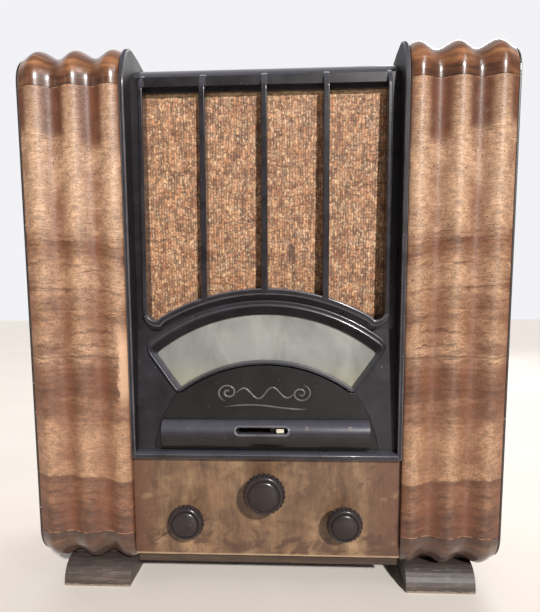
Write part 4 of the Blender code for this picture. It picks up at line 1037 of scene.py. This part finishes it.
def make_bezel():
    """Panels, half disc, bead round the grille, sill, fins, band and ribs."""
    sheet = [(-121.0, 242.0), (121.0, 242.0), (121.0, 470.0), (-121.0, 470.0)]
    hole = bay_outline(BAY_EDGE_X, ARCH_R, 7.0, 462.0)
    span = (-PANEL_D - PANEL_T, -PANEL_D)
    plane = dial_plane()
    fan = dial_fan(1.0, GAP + 0.1)
    upper = holed("upper_panel", [sheet, hole], span, FRONT_FRAME @ FACING_FRONT)
    front_piece("upper_panel", carved(upper, prism("fan_cut_upper", fan, (-20.0, 20.0), plane)))

    sheet = [(-120.8, -4.0), (120.8, -4.0), (120.8, 110.0), (-120.8, 110.0)]
    slot = [(-24.0, SLOT_S - 4.2), (21.0, SLOT_S - 4.2), (21.0, SLOT_S + 0.8), (-24.0, SLOT_S + 0.8)]
    lower = holed("lower_panel", [sheet, slot], (-PANEL_T, 0.0), plane)
    lower = carved(lower, prism("fan_cut_lower", fan, (-20.0, 20.0), plane))
    front_piece("lower_panel", lower, BAKELITE_PANEL)

    radius, centre_s = PLATFORM_ARC
    half = math.degrees(math.acos((0.3 - centre_s) / radius))
    disc = arc((0.0, centre_s), (radius, radius), 90.0 + half, 90.0 - half, 72)
    platform = carved(prism("half_disc", disc, (-1.0, 2.0), plane),
                      prism("fan_cut", fan, (-8.0, 8.0), plane), prism("slot_cut", slot, (-8.0, 8.0), plane))
    soften(front_piece("half_disc", platform, BAKELITE_DARK, 30.0), 0.9)

    outer = bay_outline(FRAME_RIB_X + 1.7, ARCH_R - 6.0, 12.0, 300.0)
    inner = bay_outline(BAY_EDGE_X + 0.1, ARCH_R, 7.0, 300.0)
    bead = front_prism("grille_bead", outer + inner[::-1], (6.0, PANEL_D + 1.0))
    soften(front_piece("grille_bead", bead), 1.4, 4, edge_highlight=BAKELITE_EDGE)

    sill_front, sill_back = BEZEL_FRONT_D + 0.1, BEZEL_BACK_D - 0.5
    low, high = BEZEL_BOTTOM_Z + 0.1, SILL_TOP_Z
    profile = [(sill_front, low), (sill_front, high - 2.2), (sill_front + 2.4, high - 0.3),
               (sill_front + 3.4, high), (sill_back, high), (sill_back, low)]
    soften(front_piece("sill", side_prism("sill", profile, (-121.2, 121.2))), 0.5, edge_highlight=BAKELITE_EDGE)

    for label, side in (("left", -1), ("right", 1)):
        x = sorted((side * FIN_X[0], side * FIN_X[1]))
        fin = front_piece(f"fin_{label}", side_prism(f"fin_{label}", fin_outline(), x), BAKELITE_FIN)
        soften(fin, 1.2, 4, edge_highlight=BAKELITE_EDGE)
    front_piece("band", side_prism("band", band_outline(), (-120.6, 120.6)), smooth=30.0)
    for column in (-2, -1, 0, 1, 2):
        x = column * RIB_X
        foot_z = 262.0 if abs(column) == 2 else arch_z(x) - 4.0
        thickness = FRAME_RIB_T if abs(column) == 2 else RIB_T
        span = (x - thickness / 2, x + thickness / 2)
        outline = side_prism(f"rib_{column + 2}", rib_outline(foot_z), span)
        rib = front_piece(f"rib_{column + 2}", outline, BAKELITE_RIB)
        soften(rib, min(2.4, thickness * 0.45), 6)


def make_dial():
    """Fan-shaped frame: rounded rim, a shallow groove, and the slope down to the glass."""
    sections = ((1.0, -4.0), (1.0, 3.0), (0.985, 4.0), (0.94, 4.8), (0.88, 5.0), (0.82, 4.7),
                (0.77, 4.1), (0.71, 4.0), (0.65, 4.5), (0.58, 4.6), (0.52, 4.1), (0.45, 3.0),
                (0.0, -3.0), (0.0, -4.0))
    plane = dial_plane()
    rings = [[plane @ (Vector((x, s, n)) * MM) for x, s in dial_fan(share)] for share, n in sections]
    mesh = skin(rings, "dial_frame_rounded", loop=True)
    piece("dial_frame_rounded", mesh, BAKELITE, "cabinet", "bakelite", "dial_frame", smooth=38.0)


def bar_front(s):
    """Height of the half-round bar's face above the panel."""
    low_s, high_s, back_n, reach = 0.7, 27.0, 4.4, 8.4
    share = (s - (low_s + high_s) / 2) / ((high_s - low_s) / 2)
    return back_n + reach * math.sqrt(max(0.0, 1 - share * share))


def stadium(centre, half, radius, steps):
    """Outline of a slot with round ends."""
    right = arc((centre[0] + half, centre[1]), (radius, radius), -90.0, 90.0, steps)
    left = arc((centre[0] - half, centre[1]), (radius, radius), 90.0, 270.0, steps)
    return right + left


def make_escutcheon():
    """Half-round bar with eased ends, a long slot with a raised lip, and two eyelets."""
    low_s, high_s, back_n, end_x, ease = 0.7, 27.0, 2.4, 94.5, 2.6
    middle = (low_s + high_s) / 2
    plane = dial_plane()
    steps = 8
    inset = [(ease * (1 - math.sin(math.radians(90.0 * i / steps))),
              1 - 0.16 * (1 - math.cos(math.radians(90.0 * (1 - i / steps))))) for i in range(steps + 1)]
    stations = [(-end_x + ease - ease * math.cos(math.radians(90.0 * (1 - i / steps))), scale)
                for i, (_, scale) in enumerate(inset)]
    stations += [(-x, scale) for x, scale in reversed(stations)]
    angles = [math.radians(-90.0 + 180.0 * i / 28) for i in range(29)]
    rings = []
    for x, scale in stations:
        ring = [(back_n, low_s + (middle - low_s) * (1 - scale))]
        ring += [(back_n + 2.0 + 8.4 * scale * math.cos(a), middle + (high_s - middle) * scale * math.sin(a))
                 for a in angles]
        ring.append((back_n, high_s - (high_s - middle) * (1 - scale)))
        rings.append([plane @ (Vector((x, s, n)) * MM) for n, s in ring])
    centre = (SLOT_CENTRE_X, SLOT_S - 1.0)
    slot = prism("bar_slot_cut", stadium(centre, 20.7, 2.9, 14), (-2.0, 30.0), plane)
    bar = carved(skin(rings, "escutcheon"), slot)
    piece("escutcheon_round", bar, BAKELITE_BAR, "cabinet", "bakelite", "escutcheon_bar", smooth=40.0)
    lip = [((x, s, bar_front(s) - 0.1), 1.0) for x, s in stadium(centre, 20.7, 3.9, 16)]
    wire("slot_lip", [lip], 1.35, BAKELITE_LIP, "cabinet", plane, True)
    eyelets = []
    for x in (38.0, 76.6):
        ring = arc((x, 20.5), (1.35, 1.35), 0.0, 360.0, 20)[:-1]
        eyelets.append([((u, s, bar_front(s) + 0.1), 1.0) for u, s in ring])
    wire("eyelets", eyelets, 0.32, WORN_EDGE, "cabinet", plane, True)


def spiral(centre, start_r, end_r, start, turn, steps):
    """Points winding in or out about a centre; angles in degrees."""
    points = []
    for i in range(steps + 1):
        t = i / steps
        radius = start_r + (end_r - start_r) * t
        angle = math.radians(start + turn * t)
        points.append((centre[0] + radius * math.cos(angle), centre[1] + radius * 0.86 * math.sin(angle)))
    return points


def make_ornament():
    """Plain scrollwork in low relief on the half disc: two volutes joined by a wave."""
    plane = dial_plane()
    level = 2.15

    def traced(points, fade=6):
        last = len(points) - 1
        return [((x, s, level), max(0.25, min(1.0, (min(i, last - i) + 1) / fade)))
                for i, (x, s) in enumerate(points)]

    wave = []
    for i in range(49):
        t = i / 48
        x = -27.0 + 54.0 * t
        wave.append((x, 51.5 + 5.6 * math.sin(4 * math.pi * t) * (1 - 0.3 * abs(2 * t - 1))))
    left = spiral((-34.5, 52.0), 1.2, 9.6, 40.0, 320.0 + 255.0, 48)
    right = [(-x - 2.0, 2 * 51.5 - s) for x, s in left]
    under = [(-38.0 + 76.0 * i / 32, 38.6 + 1.9 * math.sin(math.pi * i / 32 * 1.6)) for i in range(33)]
    paths = [traced(p) for p in (wave, left, right, under)]
    wire("scroll_relief", paths, 0.85, BAKELITE_RELIEF, "cabinet", plane)


# ---------------------------------------------------------------- knobs


DOME_SHARE, HUB_SHARE = 0.68, 0.60  # of the knob's radius
TOOTH_DEPTH = 1.25
# The rim from the ring's inner wall back to the hub: share of the radius, distance behind the
# dome's crown, and how much of the teeth's depth is cut there
KNOB_RIM = (
    (0.735, 3.8, 0.0), (0.745, 3.5, 0.0), (0.755, 2.8, 0.0), (0.77, 2.55, 0.0), (0.80, 2.55, 0.0),
    (0.85, 2.75, 0.0), (0.885, 3.3, 0.0), (0.91, 4.2, 0.2), (0.96, 5.0, 0.8), (0.985, 6.2, 1.0),
    (1.0, 7.6, 1.0), (1.0, 9.0, 1.0), (0.97, 9.6, 0.8), (0.94, 10.2, 0.0),
)


def make_knob(name, node, body, teeth):
    """Domed cap, a ring, and a toothed rim that narrows to a hub behind."""
    low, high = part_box(node)
    radius = (high.x - low.x) / 2 / MM
    height = (high.y - low.y) / MM
    centre = (low + high) / 2
    x0, z0, back_d = centre.x / MM, centre.z / MM, high.y / MM - FRONT_Y
    dome, hub = radius * DOME_SHARE, radius * HUB_SHARE
    profile = [(dome * math.sin(math.radians(a)), height - 2.3 * (1 - math.cos(math.radians(a))), 0.0)
               for a in range(0, 91, 9)]
    profile[0] = (0.01, height, 0.0)
    profile += [(dome + 0.1, height - 3.4, 0.0), (dome + 0.3, height - 3.8, 0.0)]
    profile += [(radius * share, height - drop, cut) for share, drop, cut in KNOB_RIM]
    profile += [(hub, 0.6, 0.0), (hub - 0.6, 0.0, 0.0), (4.0, 0.0, 0.0)]
    around = teeth * 10
    rings = []
    for r, h, share in profile:
        ring = []
        for k in range(around):
            angle = 2 * math.pi * k / around
            notch = max(0.0, math.cos(teeth * angle)) ** 0.8
            reach = max(0.01, r - TOOTH_DEPTH * share * notch)
            ring.append(place(x0 + reach * math.cos(angle), back_d - h, z0 + reach * math.sin(angle)))
        rings.append(ring)
    piece(name, skin(rings, name), BAKELITE_KNOB, body, "bakelite", node, smooth=32.0)


# ---------------------------------------------------------------- grille cloth


def lattice(rng, x, z, size_x, size_z):
    """Smooth value noise from 0 to 1 over a grid of points, with cells of the given size."""
    across, up = int(np.ptp(x) / size_x) + 3, int(np.ptp(z) / size_z) + 3
    values = rng.random((across, up))
    u, v = (x - x.min()) / size_x, (z - z.min()) / size_z
    i, j = u.astype(int), v.astype(int)
    s, t = u - i, v - j
    s, t = s * s * (3 - 2 * s), t * t * (3 - 2 * t)
    low = values[i, j] * (1 - s) + values[i + 1, j] * s
    high = values[i, j + 1] * (1 - s) + values[i + 1, j + 1] * s
    return low * (1 - t) + high * t


def make_cloth():
    """Woven cloth behind the bays: upright strands, raised flecks, and cracks across."""
    rng = np.random.default_rng(41)
    step = 0.5
    low_x, high_x = CLOTH_LOW.x / MM, CLOTH_HIGH.x / MM
    low_z, high_z = CLOTH_LOW.z / MM, CLOTH_HIGH.z / MM
    columns, rows = int((high_x - low_x) / step) + 1, int((high_z - low_z) / step) + 1
    x, z = np.meshgrid(np.linspace(low_x, high_x, columns), np.linspace(low_z, high_z, rows),
                       indexing="ij")
    wander = 1.6 * lattice(rng, x, z, 9.0, 26.0)
    pitch = 2.4
    strand_at = (x - low_x + wander) / pitch
    ridge = 0.5 - 0.5 * np.cos(2 * np.pi * strand_at)
    strand = np.zeros_like(x)
    fleck = np.zeros_like(x)
    crack = np.zeros_like(x)
    number = strand_at.astype(int)
    for index in range(number.max() + 1):
        chosen = number == index
        ends = low_z - 8.0 + np.cumsum(rng.uniform(3.0, 9.5, 60))
        tone, dark = rng.random(61), rng.uniform(0.1, 0.95, 61)
        at_z = z[chosen]
        bit = np.clip(np.searchsorted(ends, at_z), 1, 59)
        gap = np.minimum(np.abs(at_z - ends[bit - 1]), np.abs(ends[bit] - at_z))
        strand[chosen] = tone[bit]
        crack[chosen] = dark[bit] * np.exp(-(gap / 0.5) ** 2)
    strand = 0.42 * np.sqrt(ridge) + 0.58 * strand

    def stamp(field, at_x, at_z, half_x, half_z, strength, tilt=0.0):
        i0, i1 = np.searchsorted(x[:, 0], (at_x - 3 * half_x - 1, at_x + 3 * half_x + 1))
        j0, j1 = np.searchsorted(z[0], (at_z - 3 * half_z - 1, at_z + 3 * half_z + 1))
        part_x, part_z = x[i0:i1, j0:j1] - at_x, z[i0:i1, j0:j1] - at_z
        part_z = part_z + tilt * part_x
        bump = strength * np.exp(-(part_x / half_x) ** 2 - (part_z / half_z) ** 2)
        field[i0:i1, j0:j1] = np.maximum(field[i0:i1, j0:j1], bump)

    for _ in range(4600):
        stamp(fleck, rng.uniform(low_x, high_x), rng.uniform(low_z, high_z), rng.uniform(0.28, 0.5),
              rng.uniform(0.5, 1.5), rng.uniform(0.3, 0.95), rng.uniform(-0.2, 0.2))
    for _ in range(900):
        stamp(crack, rng.uniform(low_x, high_x), rng.uniform(low_z, high_z), rng.uniform(0.7, 1.8),
              rng.uniform(0.4, 0.6), rng.uniform(0.5, 0.9), rng.uniform(-0.3, 0.3))
    # cracks across, in broken rows
    row_z = low_z + 4.0
    while row_z < high_z:
        at_x = low_x + rng.uniform(0.0, 10.0)
        while at_x < high_x:
            length = rng.uniform(4.0, 22.0)
            drift = rng.uniform(-2.5, 2.5)
            slope = rng.uniform(-0.15, 0.15)
            strength = rng.uniform(0.35, 0.95)
            bits = int(length / 1.1)
            phase = rng.uniform(0, 6.3)
            for bit in range(bits):
                run = bit * 1.1
                stamp(crack, at_x + run, row_z + drift + slope * run + 0.7 * math.sin(phase + run * 0.5),
                      0.9, rng.uniform(0.4, 0.62), strength * rng.uniform(0.6, 1.0))
            at_x += length + rng.uniform(3.0, 24.0)
        row_z += rng.uniform(7.0, 13.0)
    # a torn place in the third bay
    for _ in range(60):
        stamp(crack, rng.normal(24.0, 2.2), rng.normal(318.0, 7.0), rng.uniform(0.6, 1.3),
              rng.uniform(0.8, 2.2), rng.uniform(0.7, 1.0))
    fleck = fleck * (1 - crack)
    # frayed selvage along the top
    selvage = np.clip((z - (high_z - 5.0) + 2.0 * lattice(rng, x, z, 4.0, 4.0)) / 3.0, 0.0, 1.0)
    fleck = np.maximum(fleck, 0.35 * selvage)
    rise = 0.22 * strand + 0.30 * fleck - 0.34 * crack
    rise += 0.10 * lattice(rng, x, z, 0.9, 1.1)
    thickness = CLOTH_HIGH.y - CLOTH_LOW.y
    face = CLOTH_LOW.y + thickness / 2
    points = np.stack([x * MM, face - rise * MM, z * MM], axis=-1).reshape(-1, 3)
    index = np.arange(columns * rows).reshape(columns, rows)
    quads = np.stack([index[:-1, :-1], index[1:, :-1], index[1:, 1:], index[:-1, 1:]], axis=-1)
    mesh = bpy.data.meshes.new("woven_cloth")
    mesh.from_pydata(points.tolist(), [], quads.reshape(-1, 4).tolist())
    for key, values in (("fleck", fleck), ("crack", crack), ("strand", strand)):
        attribute = mesh.attributes.new(key, "FLOAT", "POINT")
        attribute.data.foreach_set("value", values.reshape(-1).astype(np.float32))
    cloth = piece("woven_cloth", mesh, CLOTH, "cabinet", "cloth", "grille_cloth", smooth=180.0)


# ---------------------------------------------------------------- stage


def make_stage():
    """Pale floor, well wider than the cabinet."""
    size = 6.0
    mesh = bpy.data.meshes.new("floor")
    corners = [(-size, -size, 0.0), (size, -size, 0.0), (size, size, 0.0), (-size, size, 0.0)]
    mesh.from_pydata(corners, [], [(0, 1, 2, 3)])
    floor = add_object("floor", mesh)
    mesh.materials.append(table_top("table_top"))


def make_light(name, kind, towards, energy, size, colour):
    """Lamp that shines on the middle of the cabinet from a direction. size is a disc's diameter
    in metres, or a sun's angle in degrees."""
    data = bpy.data.lights.new(name, kind)
    data.energy = energy
    data.color = colour
    if kind == "SUN":
        data.angle = math.radians(size)
    else:
        data.shape = "DISK"
        data.size = size
    lamp = add_object(name, data)
    direction = Vector(towards).normalized()
    lamp.location = Vector(CABINET_MIDDLE) + direction * LAMP_DISTANCE
    lamp.rotation_euler = direction.to_track_quat("Z", "Y").to_euler()


CABINET_MIDDLE = (0.0, 0.0, 0.25)
LAMP_DISTANCE = 2.2
ROOM_IN_FRONT, ROOM_BEHIND = 0.10, 0.93  # how bright the room is either side of the cabinet
BACKDROP = 0.92  # how bright the camera sees the plain wall behind


def make_lights():
    """A sharp key from the upper right in front, and a room that is brighter behind the cabinet."""
    make_light("key", "SUN", (0.36, -1.0, 0.6), 4.05, 2.5, (1.0, 0.985, 0.965))
    make_light("window", "AREA", (0.9, -1.0, 1.5), 3.5, 0.5, (0.96, 0.98, 1.0))
    make_light("rear_fill", "AREA", (0.5, 1.0, 0.7), 12.0, 1.0, (1.0, 0.99, 0.97))
    make_light("bounce", "AREA", (-1.3, -0.9, 0.5), 1.2, 0.9, (1.0, 0.98, 0.96))
    world = bpy.data.worlds.new("room")
    world.use_nodes = True
    nodes, links = world.node_tree.nodes, world.node_tree.links
    split = nodes.new("ShaderNodeSeparateXYZ")
    links.new(nodes.new("ShaderNodeTexCoord").outputs["Generated"], split.inputs[0])
    towards_wall = nodes.new("ShaderNodeMapRange")
    towards_wall.interpolation_type = "SMOOTHSTEP"
    links.new(split.outputs[1], towards_wall.inputs[0])
    for index, value in ((1, -0.1), (2, 0.75), (3, ROOM_IN_FRONT), (4, ROOM_BEHIND)):
        towards_wall.inputs[index].default_value = value
    background = nodes["Background"]
    background.inputs["Color"].default_value = (0.97, 0.97, 1.0, 1.0)
    seen = nodes.new("ShaderNodeMix")
    links.new(nodes.new("ShaderNodeLightPath").outputs["Is Camera Ray"], seen.inputs[0])
    links.new(towards_wall.outputs[0], seen.inputs[2])
    seen.inputs[3].default_value = BACKDROP
    links.new(seen.outputs[0], background.inputs["Strength"])
    bpy.context.scene.world = world
    bpy.context.scene.view_settings.view_transform = "Standard"


SENSOR, LENS = 36.0, 31.8235294  # the sensor's longer side and the focal length, in millimetres
LENS_RISE = 0.0882352941  # of the sensor's longer side
CAMERA_TURN_DEG = (-2.88, 6.63, 0.28)  # to the right, downwards, and about the view
CAMERA_X, CAMERA_D, CAMERA_Z = 29.0, -482.0, 277.0


def make_camera():
    """Slightly to the right of the middle and above it, turned a little to the left."""
    yaw, pitch, roll = (math.radians(a) for a in CAMERA_TURN_DEG)
    forward = Vector((math.sin(yaw) * math.cos(pitch), math.cos(yaw) * math.cos(pitch),
                      -math.sin(pitch)))
    across = Vector((math.cos(yaw), -math.sin(yaw), 0.0))
    down = forward.cross(across)
    right = across * math.cos(roll) + down * math.sin(roll)
    up = across * math.sin(roll) - down * math.cos(roll)
    data = bpy.data.cameras.new("camera")
    data.sensor_width = SENSOR
    data.lens = LENS
    data.shift_y = LENS_RISE
    camera = add_object("camera", data)
    turn = Matrix((right, up, -forward)).transposed().to_4x4()
    camera.matrix_world = Matrix.Translation(place(CAMERA_X, CAMERA_D, CAMERA_Z)) @ turn
    bpy.context.scene.camera = camera


make_camera()
finish_nodes()
make_mouldings()
make_bezel()
make_dial()
make_escutcheon()
make_ornament()
make_knob("tuning_knob_fluted", "tuning_knob", "tuning", 26)
make_knob("volume_knob_fluted", "volume_knob", "volume", 24)
make_knob("wave_change_knob_fluted", "wave_change_knob", "wave_change", 24)
make_cloth()
make_stage()
make_lights()
